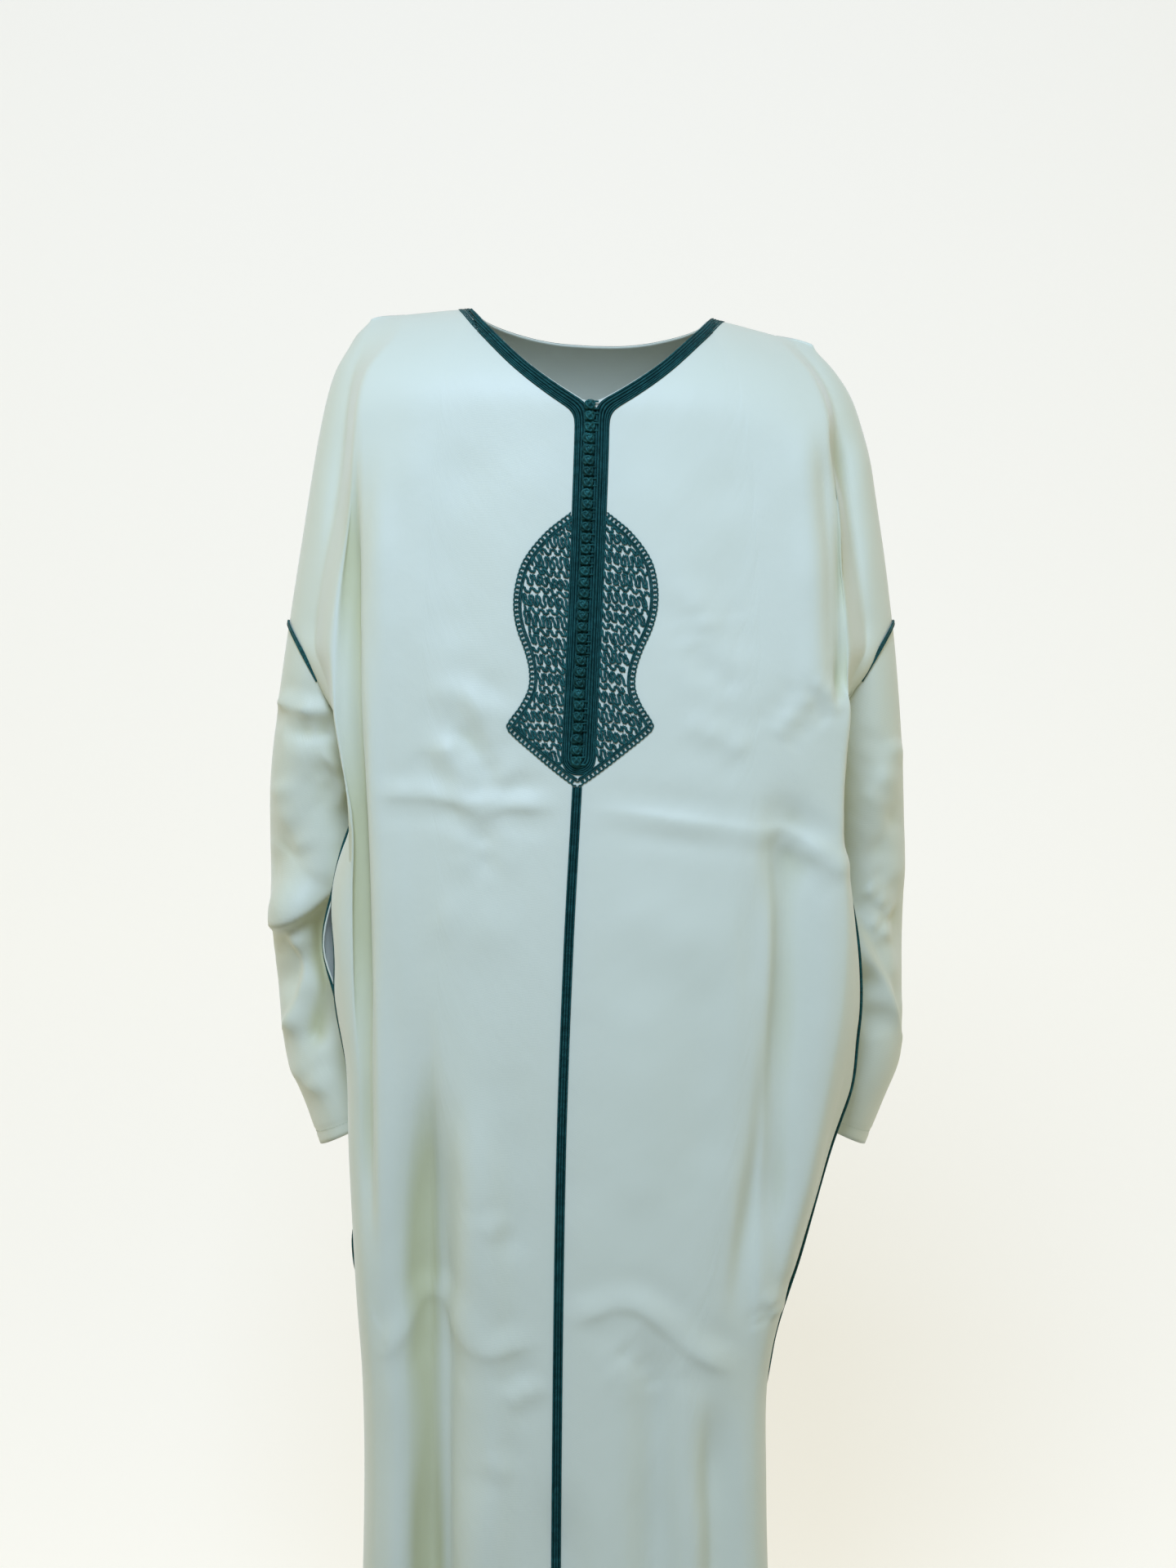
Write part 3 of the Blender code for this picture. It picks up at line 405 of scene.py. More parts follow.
# %% [markdown]
# ## Creases
# The tables place the creases that the photo shows, in the photo's own positions, and similar ones on the
# sides that it hides. A crease runs along points. A ridge's height is positive and a trough's negative. It
# is steeper on one side, and fades at its ends.

# %% Place the creases
Crease = namedtuple("Crease", "name panel width height step points")
CREASES = [
    Crease("left_valley", FRONT, 0.014, -0.0115, -0.9,
           [(-0.221, -0.085), (-0.222, -0.180), (-0.222, -0.280), (-0.219, -0.400), (-0.213, -0.520),
            (-0.209, -0.660),
            (-0.206, -0.800), (-0.202, -0.900)]),
    Crease("left_valley_edge", FRONT, 0.008, 0.0035, 0.7,
           [(-0.207, -0.300), (-0.204, -0.440), (-0.200, -0.560), (-0.197, -0.680), (-0.195, -0.800),
            (-0.192, -0.900)]),
    Crease("right_valley", FRONT, 0.014, -0.0100, 0.9,
           [(0.228, -0.090), (0.231, -0.160), (0.233, -0.240), (0.233, -0.330), (0.230, -0.400)]),
    Crease("right_flank_hollow", FRONT, 0.020, -0.0050, 0.3,
           [(0.188, -0.430), (0.182, -0.540), (0.176, -0.660), (0.170, -0.780), (0.160, -0.900)]),
    Crease("right_flank_edge", FRONT, 0.009, 0.0044, 0.6,
           [(0.166, -0.470), (0.163, -0.600), (0.160, -0.740), (0.156, -0.880), (0.153, -1.000)]),
    Crease("deep_left", FRONT, 0.022, -0.0155, -0.9,
           [(-0.150, -0.640), (-0.148, -0.860), (-0.148, -0.960), (-0.146, -1.060), (-0.144, -1.180),
            (-0.144, -1.455)]),
    Crease("deep_left_edge", FRONT, 0.009, 0.0050, 0.6,
           [(-0.118, -0.840), (-0.121, -0.960), (-0.123, -1.060), (-0.122, -1.180), (-0.122, -1.455)]),
    Crease("deep_left_rib", FRONT, 0.013, 0.0040, -0.4,
           [(-0.186, -0.930), (-0.180, -1.050), (-0.176, -1.200), (-0.176, -1.455)]),
    Crease("fold_line_upper_left", FRONT, 0.010, 0.0034, 0.5,
           [(-0.205, -0.458), (-0.145, -0.459), (-0.118, -0.465), (-0.104, -0.478), (-0.080, -0.468),
            (-0.022, -0.470)]),
    Crease("fold_line_upper_right", FRONT, 0.010, 0.0026, -0.5,
           [(-0.008, -0.471), (0.040, -0.476), (0.094, -0.484), (0.160, -0.493), (0.175, -0.488),
            (0.252, -0.530)]),
    Crease("star_up", FRONT, 0.012, 0.0036, 0.3,
           [(-0.104, -0.478), (-0.112, -0.452), (-0.128, -0.425), (-0.140, -0.400)]),
    Crease("star_down", FRONT, 0.010, -0.0024, 0.3, [(-0.104, -0.480), (-0.100, -0.505), (-0.096, -0.540)]),
    Crease("star_side", FRONT, 0.009, 0.0024, 0.2, [(-0.100, -0.476), (-0.086, -0.452), (-0.070, -0.425)]),
    Crease("belly_left", FRONT, 0.014, 0.0022, 0.0,
           [(-0.150, -0.350), (-0.120, -0.372), (-0.090, -0.384), (-0.060, -0.392)]),
    Crease("belly_left_low", FRONT, 0.012, -0.0020, 0.3,
           [(-0.140, -0.385), (-0.115, -0.405), (-0.095, -0.430)]),
    Crease("belly_left_steep", FRONT, 0.010, 0.0024, 0.4,
           [(-0.122, -0.350), (-0.104, -0.380), (-0.095, -0.410), (-0.082, -0.436)]),
    Crease("chest_right_1", FRONT, 0.013, 0.0018, 0.2, [(0.075, -0.262), (0.098, -0.282), (0.112, -0.312)]),
    Crease("chest_right_2", FRONT, 0.012, -0.0018, 0.0,
           [(0.090, -0.320), (0.110, -0.345), (0.140, -0.362)]),
    Crease("chest_right_3", FRONT, 0.012, 0.0020, 0.2, [(0.083, -0.392), (0.110, -0.400), (0.150, -0.421)]),
    Crease("flank_right_1", FRONT, 0.009, 0.0028, 0.4, [(0.205, -0.350), (0.222, -0.366), (0.236, -0.384)]),
    Crease("flank_right_2", FRONT, 0.009, 0.0022, -0.3,
           [(0.168, -0.405), (0.182, -0.390), (0.204, -0.362)]),
    Crease("flank_right_3", FRONT, 0.012, 0.0026, 0.4, [(0.170, -0.500), (0.205, -0.512), (0.246, -0.535)]),
    Crease("fold_line_low_left", FRONT, 0.012, 0.0030, 0.6,
           [(-0.207, -0.972), (-0.186, -0.978), (-0.170, -0.952), (-0.152, -0.924), (-0.137, -0.922),
            (-0.112, -0.964),
            (-0.096, -0.975), (-0.066, -0.966), (-0.040, -0.960)]),
    Crease("fold_line_low_right", FRONT, 0.012, 0.0034, 0.6,
           [(-0.024, -0.951), (-0.008, -0.940), (0.024, -0.928), (0.044, -0.930), (0.064, -0.946),
            (0.090, -0.970),
            (0.116, -0.987), (0.142, -0.996)]),
    Crease("low_small_1", FRONT, 0.010, 0.0026, 0.3,
           [(-0.097, -0.865), (-0.086, -0.856), (-0.076, -0.848)]),
    Crease("low_small_2", FRONT, 0.010, 0.0026, 0.3,
           [(-0.079, -1.020), (-0.060, -1.010), (-0.041, -1.002)]),
    Crease("low_small_3", FRONT, 0.010, 0.0024, 0.3,
           [(-0.097, -1.068), (-0.086, -1.078), (-0.076, -1.088)]),
    Crease("low_small_4", FRONT, 0.012, -0.0022, 0.3, [(0.020, -0.968), (0.046, -0.982), (0.060, -1.010)]),
    Crease("low_side", FRONT, 0.010, 0.0026, 0.5, [(0.158, -0.922), (0.170, -0.932), (0.176, -0.950)]),
    Crease("hip_left_1", FRONT, 0.022, 0.0016, 0.0, [(-0.150, -0.560), (-0.110, -0.580), (-0.060, -0.588)]),
    Crease("hip_right_1", FRONT, 0.024, 0.0016, 0.0, [(0.020, -0.560), (0.080, -0.590), (0.140, -0.600)]),
    Crease("thigh_1", FRONT, 0.026, -0.0018, 0.2, [(-0.080, -0.700), (-0.070, -0.800), (-0.074, -0.900)]),
    Crease("thigh_2", FRONT, 0.026, 0.0020, 0.2, [(0.040, -0.640), (0.046, -0.740), (0.040, -0.860)]),
    Crease("thigh_3", FRONT, 0.024, -0.0018, 0.2, [(0.100, -0.620), (0.108, -0.720), (0.104, -0.820)]),
    Crease("chest_left_drop", FRONT, 0.026, 0.0022, 0.3,
           [(-0.152, -0.060), (-0.166, -0.140), (-0.170, -0.260), (-0.164, -0.380)]),
    Crease("chest_right_drop", FRONT, 0.026, 0.0022, -0.3,
           [(0.168, -0.080), (0.196, -0.180), (0.206, -0.290), (0.200, -0.380)]),
    Crease("chest_left_hollow", FRONT, 0.030, -0.0018, 0.0,
           [(-0.115, -0.120), (-0.128, -0.220), (-0.130, -0.330)]),
    Crease("chest_right_hollow", FRONT, 0.030, -0.0016, 0.0,
           [(0.120, -0.140), (0.134, -0.240), (0.140, -0.350)]),
    Crease("shin_1", FRONT, 0.020, 0.0024, 0.3, [(-0.110, -1.080), (-0.106, -1.220), (-0.112, -1.440)]),
    Crease("shin_2", FRONT, 0.022, -0.0026, 0.2, [(0.050, -1.060), (0.056, -1.200), (0.052, -1.440)]),
    Crease("shin_3", FRONT, 0.020, 0.0024, 0.3, [(0.100, -1.090), (0.096, -1.240), (0.104, -1.440)]),
    Crease("bag_left", "left", 0.024, 0.0150, -1.0,
           [(-0.226, -0.480), (-0.237, -0.513), (-0.252, -0.547), (-0.272, -0.567), (-0.294, -0.582),
            (-0.330, -0.590)]),
    Crease("bag_left_lip", "left", 0.012, 0.0080, 0.8,
           [(-0.300, -0.586), (-0.287, -0.598), (-0.279, -0.618), (-0.279, -0.638), (-0.286, -0.665),
            (-0.303, -0.701)]),
    Crease("bag_left_under", "left", 0.018, -0.0100, 0.3,
           [(-0.240, -0.560), (-0.262, -0.590), (-0.262, -0.650), (-0.280, -0.720)]),
    Crease("elbow_left", "left", 0.009, 0.0045, 0.7,
           [(-0.312, -0.362), (-0.300, -0.371), (-0.273, -0.379), (-0.244, -0.379)]),
    Crease("elbow_left_low", "left", 0.010, -0.0040, 0.5,
           [(-0.300, -0.396), (-0.270, -0.402), (-0.240, -0.398)]),
    Crease("loop_left", "left", 0.007, 0.0045, 0.6,
           [(-0.262, -0.415), (-0.248, -0.430), (-0.242, -0.450), (-0.246, -0.475)]),
    Crease("forearm_left", "left", 0.016, 0.0040, 0.4,
           [(-0.305, -0.440), (-0.296, -0.480), (-0.276, -0.520)]),
    Crease("cuff_left", "left", 0.012, 0.0036, 0.5, [(-0.305, -0.720), (-0.280, -0.742), (-0.250, -0.748)]),
    Crease("bag_right", "right", 0.022, 0.0140, -1.0,
           [(0.246, -0.560), (0.266, -0.608), (0.285, -0.645), (0.289, -0.665), (0.297, -0.689),
            (0.312, -0.712)]),
    Crease("bag_right_under", "right", 0.016, -0.0090, 0.3,
           [(0.250, -0.620), (0.268, -0.660), (0.276, -0.700)]),
    Crease("wrist_right", "right", 0.010, 0.0040, 0.5, [(0.262, -0.548), (0.280, -0.560), (0.300, -0.578)]),
    Crease("wrist_right_low", "right", 0.010, 0.0036, 0.5,
           [(0.262, -0.575), (0.282, -0.590), (0.304, -0.600)]),
    Crease("elbow_right", "right", 0.014, 0.0036, 0.4, [(0.300, -0.400), (0.286, -0.440), (0.262, -0.470)]),
    Crease("elbow_right_low", "right", 0.016, -0.0036, 0.4,
           [(0.306, -0.460), (0.290, -0.500), (0.262, -0.530)]),
    Crease("back_line_upper", BACK, 0.012, 0.0030, 0.5,
           [(-0.190, -0.466), (-0.120, -0.472), (-0.060, -0.464), (0.000, -0.470), (0.070, -0.476),
            (0.130, -0.470), (0.185, -0.462)]),
    Crease("back_line_low", BACK, 0.013, 0.0032, 0.5,
           [(-0.188, -0.962), (-0.130, -0.975), (-0.060, -0.966), (0.010, -0.972), (0.070, -0.960),
            (0.130, -0.968)]),
    Crease("back_slant_1", BACK, 0.016, 0.0024, 0.3,
           [(-0.110, -0.200), (-0.080, -0.300), (-0.040, -0.390)]),
    Crease("back_slant_2", BACK, 0.018, -0.0024, 0.3, [(0.120, -0.180), (0.090, -0.280), (0.060, -0.400)]),
    Crease("back_slant_3", BACK, 0.014, 0.0026, 0.2, [(0.060, -0.560), (0.100, -0.640), (0.120, -0.760)]),
    Crease("back_slant_4", BACK, 0.016, 0.0026, -0.3,
           [(-0.060, -0.600), (-0.100, -0.700), (-0.120, -0.840)]),
    Crease("back_low_1", BACK, 0.020, 0.0026, 0.3, [(-0.050, -1.040), (-0.056, -1.200), (-0.050, -1.440)]),
    Crease("back_low_2", BACK, 0.018, -0.0026, 0.3, [(0.040, -1.020), (0.046, -1.200), (0.040, -1.440)]),
]


def along_line(points, count_step=0.004):
    """Smooth close points along a line through a few."""
    points = np.array(points, float)
    lengths = np.concatenate([[0.0], np.cumsum(np.linalg.norm(np.diff(points, axis=0), axis=1))])
    at = np.linspace(0.0, lengths[-1], max(int(lengths[-1] / count_step), 2) + 1)
    line = np.stack([np.interp(at, lengths, column) for column in points.T], -1)
    for _ in range(6):
        line[1:-1] = (line[:-2] + 2 * line[1:-1] + line[2:]) / 4
    return line


def line_distance(x, z, line):
    """How far each place is from a line, on which side, and how far along it the nearest place lies."""
    best = np.full(x.shape, 1e9)
    side, share = np.zeros(x.shape), np.zeros(x.shape)
    for i, (a, b) in enumerate(zip(line, line[1:])):
        way = b - a
        size = np.dot(way, way)
        t = np.clip(((x - a[0]) * way[0] + (z - a[1]) * way[1]) / size, 0.0, 1.0)
        dx, dz = x - a[0] - way[0] * t, z - a[1] - way[1] * t
        gap = np.hypot(dx, dz)
        nearer = gap < best
        best = np.where(nearer, gap, best)
        side = np.where(nearer, np.sign(dx * way[1] - dz * way[0]), side)
        share = np.where(nearer, (i + t) / (len(line) - 1), share)
    return best, side, share


def crease_height(creases, panel, x, z):
    total = np.zeros(x.shape)
    for crease in creases:
        if crease.panel != panel:
            continue
        line = along_line(crease.points)
        low, high = line.min(0) - 4 * crease.width, line.max(0) + 4 * crease.width
        near = (x > low[0]) & (x < high[0]) & (z > low[1]) & (z < high[1])
        if not near.any():
            continue
        gap, side, share = line_distance(x[near], z[near], line)
        offset = gap * side / crease.width
        steep, slack = 1 - 0.75 * abs(crease.step), 1 + 0.6 * abs(crease.step)
        width = np.where(offset * crease.step > 0, steep, slack)
        shape = np.exp(-(offset / width) ** 2) - 0.45 * np.exp(-((np.abs(offset) - 1.9) / 1.1) ** 2)
        fade = ease(share * 5) * ease((1 - share) * 5)
        waver = 1 + 0.25 * np.sin(share * 17 + len(crease.name))
        total[near] += 0.8 * crease.height * shape * fade * waver
    return total


# %% [markdown]
# ## Cloth
# Each panel is a fine grid over the form, smoothed a little, then creased, and given a real cloth's
# thickness. The grid's own lengths make its texture coordinates, in metres, so that the weave keeps its
# size.

# %% Make the grids of the panels
Fineness = namedtuple("Fineness", "neck chest tail shoulder armhole skirt")
FINENESS = {FRONT: Fineness(27, 30, 36, 48, 40, 176), BACK: Fineness(20, 20, 26, 34, 28, 108)}
SMOOTH_PASSES = 7


def across_columns(fine):
    """Places across half a panel, close together at the neck point and over the flank."""
    neck = NECK_HALF / CHEST_TOP_HALF
    chest = np.concatenate([np.linspace(0.0, neck, fine.neck)[:-1], np.linspace(neck, 1.0, fine.chest)])
    return np.concatenate([chest, np.linspace(1.0, 2.0, fine.tail)[1:]])


def skirt_rows(count):
    """Heights below the arm, closer together where the packing creases cross."""
    z = np.linspace(UNDERARM_Z, HEM_Z, 600)
    crowd = 0.6 + 0.4 * (z > -1.20)
    for crease_z in (-0.475, -0.955):
        crowd = crowd + 1.2 * np.exp(-((z - crease_z) / 0.05) ** 2)
    total = np.concatenate([[0.0], np.cumsum((crowd[1:] + crowd[:-1]) / 2)])
    return np.interp(np.linspace(0.0, total[-1], count + 1)[1:], total, z)


def panel_grid(panel):
    fine = FINENESS[panel]
    half = across_columns(fine)
    parts = []
    for side, across in ((LEFT, half[:0:-1]), (RIGHT, half)):
        top = top_z(panel, side, across)
        shares = np.linspace(0.0, 1.0, fine.shoulder, endpoint=False) ** 1.6
        shoulder = top[None, :] + (SLEEVE_TOP_Z - top)[None, :] * shares[:, None]
        armhole = armhole_z(np.linspace(0.0, math.pi, fine.armhole + 1))
        skirt = skirt_rows(fine.skirt)
        lower = np.concatenate([armhole, skirt])[:, None] + np.zeros(len(across))[None, :]
        z = np.concatenate([shoulder, lower])
        a = across[None, :] + np.zeros(z.shape)
        parts.append(place(panel, side, a, z))
    return np.concatenate(parts, 1)


def place_seams(grid, panel):
    """Parts the left pocket slit sideways as well, and brings each side seam out where it shows."""
    z = grid[..., 2]
    share = np.clip((SLIT_TOP_Z - z) / (SLIT_TOP_Z - SLIT_LOW_Z), 0.0, 1.0) ** 1.7
    slit = np.sin(math.pi * share) ** 2 * (-0.006 if panel == FRONT else 0.009)
    shown_left = 0.006 * ease((-0.86 - z) / 0.03) * ease((z + 0.94) / 0.03)
    shown_right = 0.0085 * ease((-0.68 - z) / 0.07) * ease((z + 1.08) / 0.08)
    for side, edge, move in ((LEFT, 0, slit + shown_left), (RIGHT, -1, shown_right)):
        away = np.linalg.norm(grid - grid[:, edge][:, None], axis=2)
        near = ease(1 - away / 0.040) * (grid[..., 0] * side > 0)
        grid[..., 0] += side * move * near
    return grid


def smooth_grid(grid, passes, closed=False):
    """Softens a grid's inside and leaves its edges where they are."""
    grid = grid.copy()
    for _ in range(passes):
        beside = (np.roll(grid, 1, 1) + np.roll(grid, -1, 1)) / 2
        above = np.copy(grid)
        above[1:-1] = (grid[:-2] + grid[2:]) / 2
        mean = (beside + above) / 2
        inside = slice(None) if closed else slice(1, -1)
        grid[1:-1, inside] = (grid[1:-1, inside] + mean[1:-1, inside]) / 2
    return grid


def grid_normals(grid, closed=False):
    if closed:
        over = np.roll(grid, -1, 1) - np.roll(grid, 1, 1)
    else:
        over = np.gradient(grid, axis=1)
    return unit(np.cross(np.gradient(grid, axis=0), over))


def outward(grid, normals, panel):
    return normals * np.sign((normals[..., 1] * panel).mean())


def sleeve_grid(side):
    angles = np.linspace(math.pi, 3 * math.pi, SLEEVE_ANGLES + 1)
    rows = np.linspace(0.0, 1.0, SLEEVE_STEPS + 1)
    top = armhole_z(angles)
    cuff = CUFF_INNER_Z + (CUFF_OUTER_Z - CUFF_INNER_Z) * (1 + np.cos(angles)) / 2
    z = top[None, :] + (cuff - top)[None, :] * rows[:, None]
    angle = angles[None, :] + np.zeros(z.shape)
    point = arm_point(side, z, angle)
    lip = np.zeros(z.shape)
    for row in LIPS:
        if row.side == side:
            turn = np.clip((np.degrees(angle) % 360 - row.angle) / row.half_width, -1, 1)
            rise = np.clip((z - row.z) / row.half_height, -1, 1)
            lip += row.depth * np.cos(turn * math.pi / 2) ** 2 * np.cos(rise * math.pi / 2) ** 2
    return np.stack([side * (point[..., 0] + np.cos(angle) * lip),
                     point[..., 1] - np.sin(angle) * lip, z], -1)


# %% Make the meshes as thin closed shells
SLEEVE_ANGLES, SLEEVE_STEPS = 112, 124


def new_object(name, vertices, faces, material):
    mesh = bpy.data.meshes.new(name)
    mesh.from_pydata([tuple(v) for v in vertices], [], [tuple(f) for f in faces])
    mesh.update()
    mesh.polygons.foreach_set("use_smooth", [True] * len(mesh.polygons))
    mesh.materials.append(material)
    obj = bpy.data.objects.new(name, mesh)
    bpy.context.scene.collection.objects.link(obj)
    return obj


def grid_lengths(grid):
    """Each point's place on the flat cloth, across and down, in metres."""
    over = np.linalg.norm(np.diff(grid, axis=1), axis=2)
    down = np.linalg.norm(np.diff(grid, axis=0), axis=2)
    u = np.concatenate([np.zeros((len(grid), 1)), np.cumsum(over, 1)], 1)
    v = np.concatenate([np.zeros((1, grid.shape[1])), np.cumsum(down, 0)], 0)
    return np.stack([u - u[:, u.shape[1] // 2][:, None], v], -1)


def shell(name, grid, normals, material, hollow, thickness=CLOTH, closed=False):
    """Outer and inner faces over a grid, joined at the rims, with metre texture coordinates and the 'hollow'
    attribute, which carries the painted shade of the creases' troughs.
    """
    rows, wide = grid.shape[:2]
    inner = grid - normals * thickness
    vertices = np.concatenate([grid.reshape(-1, 3), inner.reshape(-1, 3)])
    count = rows * wide
    index = np.arange(count).reshape(rows, wide)
    right = np.roll(index, -1, 1)
    if not closed:
        index, right = index[:, :-1], right[:, :-1]
    outer = np.stack([index[:-1], index[1:], right[1:], right[:-1]], -1).reshape(-1, 4)
    row, column = rows // 2, wide // 2
    here = grid[row, column]
    facing = np.cross(grid[row + 1, column] - here, grid[row, column + 1] - here)
    if np.dot(facing, normals[row, column]) < 0:
        outer = outer[:, ::-1]
    faces = [outer, outer[:, ::-1] + count]
    rims = {}
    for face in outer:
        for i in range(4):
            edge = (face[i], face[(i + 1) % 4])
            if (edge[1], edge[0]) in rims:
                del rims[(edge[1], edge[0])]
            else:
                rims[edge] = True
    rim = np.array([(j, i, i + count, j + count) for i, j in rims])
    faces = np.concatenate(faces + [rim])
    obj = new_object(name, vertices, faces, material)
    shade = obj.data.attributes.new("hollow", "FLOAT", "POINT")
    shade.data.foreach_set("value", np.tile(hollow.ravel(), 2).astype(np.float32))
    flat = grid_lengths(grid).reshape(-1, 2)
    flat = np.concatenate([flat, flat])
    layer = obj.data.uv_layers.new(name="cloth")
    loops = np.zeros(len(obj.data.loops), np.int32)
    obj.data.loops.foreach_get("vertex_index", loops)
    layer.data.foreach_set("uv", flat[loops].ravel().astype(np.float32))
    return obj


# %% [markdown]
# ## Materials
# The cloth is a light ivory crepe with a fine twill, a soft sheen and uneven tone, and painted shade darkens
# the troughs of its creases. The braid is a dark blue green viscose cord with a satin gleam, and painted
# highlights lie at random on its threads.

# %% Make the materials
def shader_of(name):
    material = bpy.data.materials.new(name)
    material.use_nodes = True
    tree = material.node_tree
    return material, tree, tree.nodes["Principled BSDF"]


def add_node(tree, kind, **values):
    node = tree.nodes.new(kind)
    for key, value in values.items():
        if hasattr(node, key):
            setattr(node, key, value)
        else:
            node.inputs[key].default_value = value
    return node


def cloth_material(name, colour, dark, valley):
    material, tree, shader = shader_of(name)
    uv = add_node(tree, "ShaderNodeTexCoord")
    tone = add_node(tree, "ShaderNodeTexNoise", Scale=3.2, Detail=4.0)
    ramp = add_node(tree, "ShaderNodeMix", data_type="RGBA")
    ramp.inputs[6].default_value = (*dark, 1.0)
    ramp.inputs[7].default_value = (*colour, 1.0)
    tree.links.new(uv.outputs["UV"], tone.inputs["Vector"])
    tree.links.new(tone.outputs["Fac"], ramp.inputs[0])
    # Painted shade: the 'hollow' attribute, how deep a crease's trough is, darkens the base colour towards
    # the yellowish valley colour, in place of the shade in the folds.
    hollow = add_node(tree, "ShaderNodeAttribute", attribute_name="hollow")
    deep = add_node(tree, "ShaderNodeMix", data_type="RGBA")
    deep.inputs[7].default_value = (*valley, 1.0)
    tree.links.new(hollow.outputs["Fac"], deep.inputs[0])
    tree.links.new(ramp.outputs[2], deep.inputs[6])
    tree.links.new(deep.outputs[2], shader.inputs["Base Color"])
    twill = add_node(tree, "ShaderNodeTexWave", bands_direction="DIAGONAL", Scale=420.0, Distortion=1.5)
    twill.inputs["Detail"].default_value = 1.0
    crepe = add_node(tree, "ShaderNodeTexNoise", Scale=900.0, Detail=2.0)
    soft = add_node(tree, "ShaderNodeTexNoise", Scale=22.0, Detail=3.0)
    for node in (twill, crepe, soft):
        tree.links.new(uv.outputs["UV"], node.inputs["Vector"])
    weave = add_node(tree, "ShaderNodeBump", Strength=0.10, Distance=0.0004)
    grain = add_node(tree, "ShaderNodeBump", Strength=0.12, Distance=0.0004)
    drape = add_node(tree, "ShaderNodeBump", Strength=0.20, Distance=0.0040)
    tree.links.new(twill.outputs["Fac"], weave.inputs["Height"])
    tree.links.new(crepe.outputs["Fac"], grain.inputs["Height"])
    tree.links.new(soft.outputs["Fac"], drape.inputs["Height"])
    tree.links.new(drape.outputs["Normal"], grain.inputs["Normal"])
    tree.links.new(grain.outputs["Normal"], weave.inputs["Normal"])
    tree.links.new(weave.outputs["Normal"], shader.inputs["Normal"])
    shader.inputs["Roughness"].default_value = 0.50
    shader.inputs["Specular IOR Level"].default_value = 0.35
    shader.inputs["Sheen Weight"].default_value = 0.25
    shader.inputs["Sheen Roughness"].default_value = 0.45
    return material


def cord_material(name, colour, painted_highlight):
    material, tree, shader = shader_of(name)
    place_in = add_node(tree, "ShaderNodeTexCoord")
    tone = add_node(tree, "ShaderNodeTexNoise", Scale=160.0, Detail=3.0)
    blend = add_node(tree, "ShaderNodeMix", data_type="RGBA")
    blend.inputs[6].default_value = (*colour, 1.0)
    # The second colour is a painted highlight, laid at random on the threads by a noise and each thread's own
    # tone.
    blend.inputs[7].default_value = (*painted_highlight, 1.0)
    tree.links.new(place_in.outputs["Object"], tone.inputs["Vector"])
    thread = add_node(tree, "ShaderNodeAttribute", attribute_name="tone")
    share = add_node(tree, "ShaderNodeMath", operation="MULTIPLY")
    tree.links.new(tone.outputs["Fac"], share.inputs[0])
    tree.links.new(thread.outputs["Fac"], share.inputs[1])
    tree.links.new(share.outputs["Value"], blend.inputs[0])
    tree.links.new(blend.outputs[2], shader.inputs["Base Color"])
    fibre = add_node(tree, "ShaderNodeTexNoise", Scale=1500.0, Detail=2.0)
    tree.links.new(place_in.outputs["Object"], fibre.inputs["Vector"])
    bump = add_node(tree, "ShaderNodeBump", Strength=0.35, Distance=0.0003)
    tree.links.new(fibre.outputs["Fac"], bump.inputs["Height"])
    tree.links.new(bump.outputs["Normal"], shader.inputs["Normal"])
    shader.inputs["Roughness"].default_value = 0.40
    shader.inputs["Specular IOR Level"].default_value = 0.35
    shader.inputs["Specular Tint"].default_value = (0.30, 1.0, 0.85, 1.0)
    return material


# The third colour is the painted shade of the creases' troughs.
IVORY = cloth_material("ivory_cloth", (0.76, 0.77, 0.60), (0.70, 0.71, 0.53), (0.60, 0.59, 0.35))
# The teal cord's lighter colour is its painted highlight.
TEAL = cord_material("teal_cord", (0.002, 0.013, 0.013), (0.029, 0.152, 0.140))

# %% Build the cloth pieces
HEM_ROW, CUFF_ROW, GROOVE = -4, -4, 0.0008
# Painted shade starts at this trough depth and is full this much deeper.
PAINTED_SHADE_START, PAINTED_SHADE_DEPTH = 0.0025, 0.008
PANEL_GRIDS, PANEL_NORMALS, PANEL_PAINTED_SHADE = {}, {}, {}
for panel in (FRONT, BACK):
    plain = place_seams(smooth_grid(panel_grid(panel), SMOOTH_PASSES), panel)
    normals = outward(plain, grid_normals(plain), panel)
    height = crease_height(CREASES, panel, plain[..., 0], plain[..., 2])
    rim = np.ones(plain.shape[:2])
    rim[:, [0, -1]] = 0.0
    rim[:, [1, -2]] = 0.4
    creased = plain + normals * (height * rim)[..., None]
    creased[HEM_ROW] -= normals[HEM_ROW] * GROOVE
    PANEL_GRIDS[panel] = creased
    PANEL_PAINTED_SHADE[panel] = np.clip((-height - PAINTED_SHADE_START) / PAINTED_SHADE_DEPTH, 0.0, 1.0)
    PANEL_NORMALS[panel] = outward(creased, grid_normals(creased), panel)

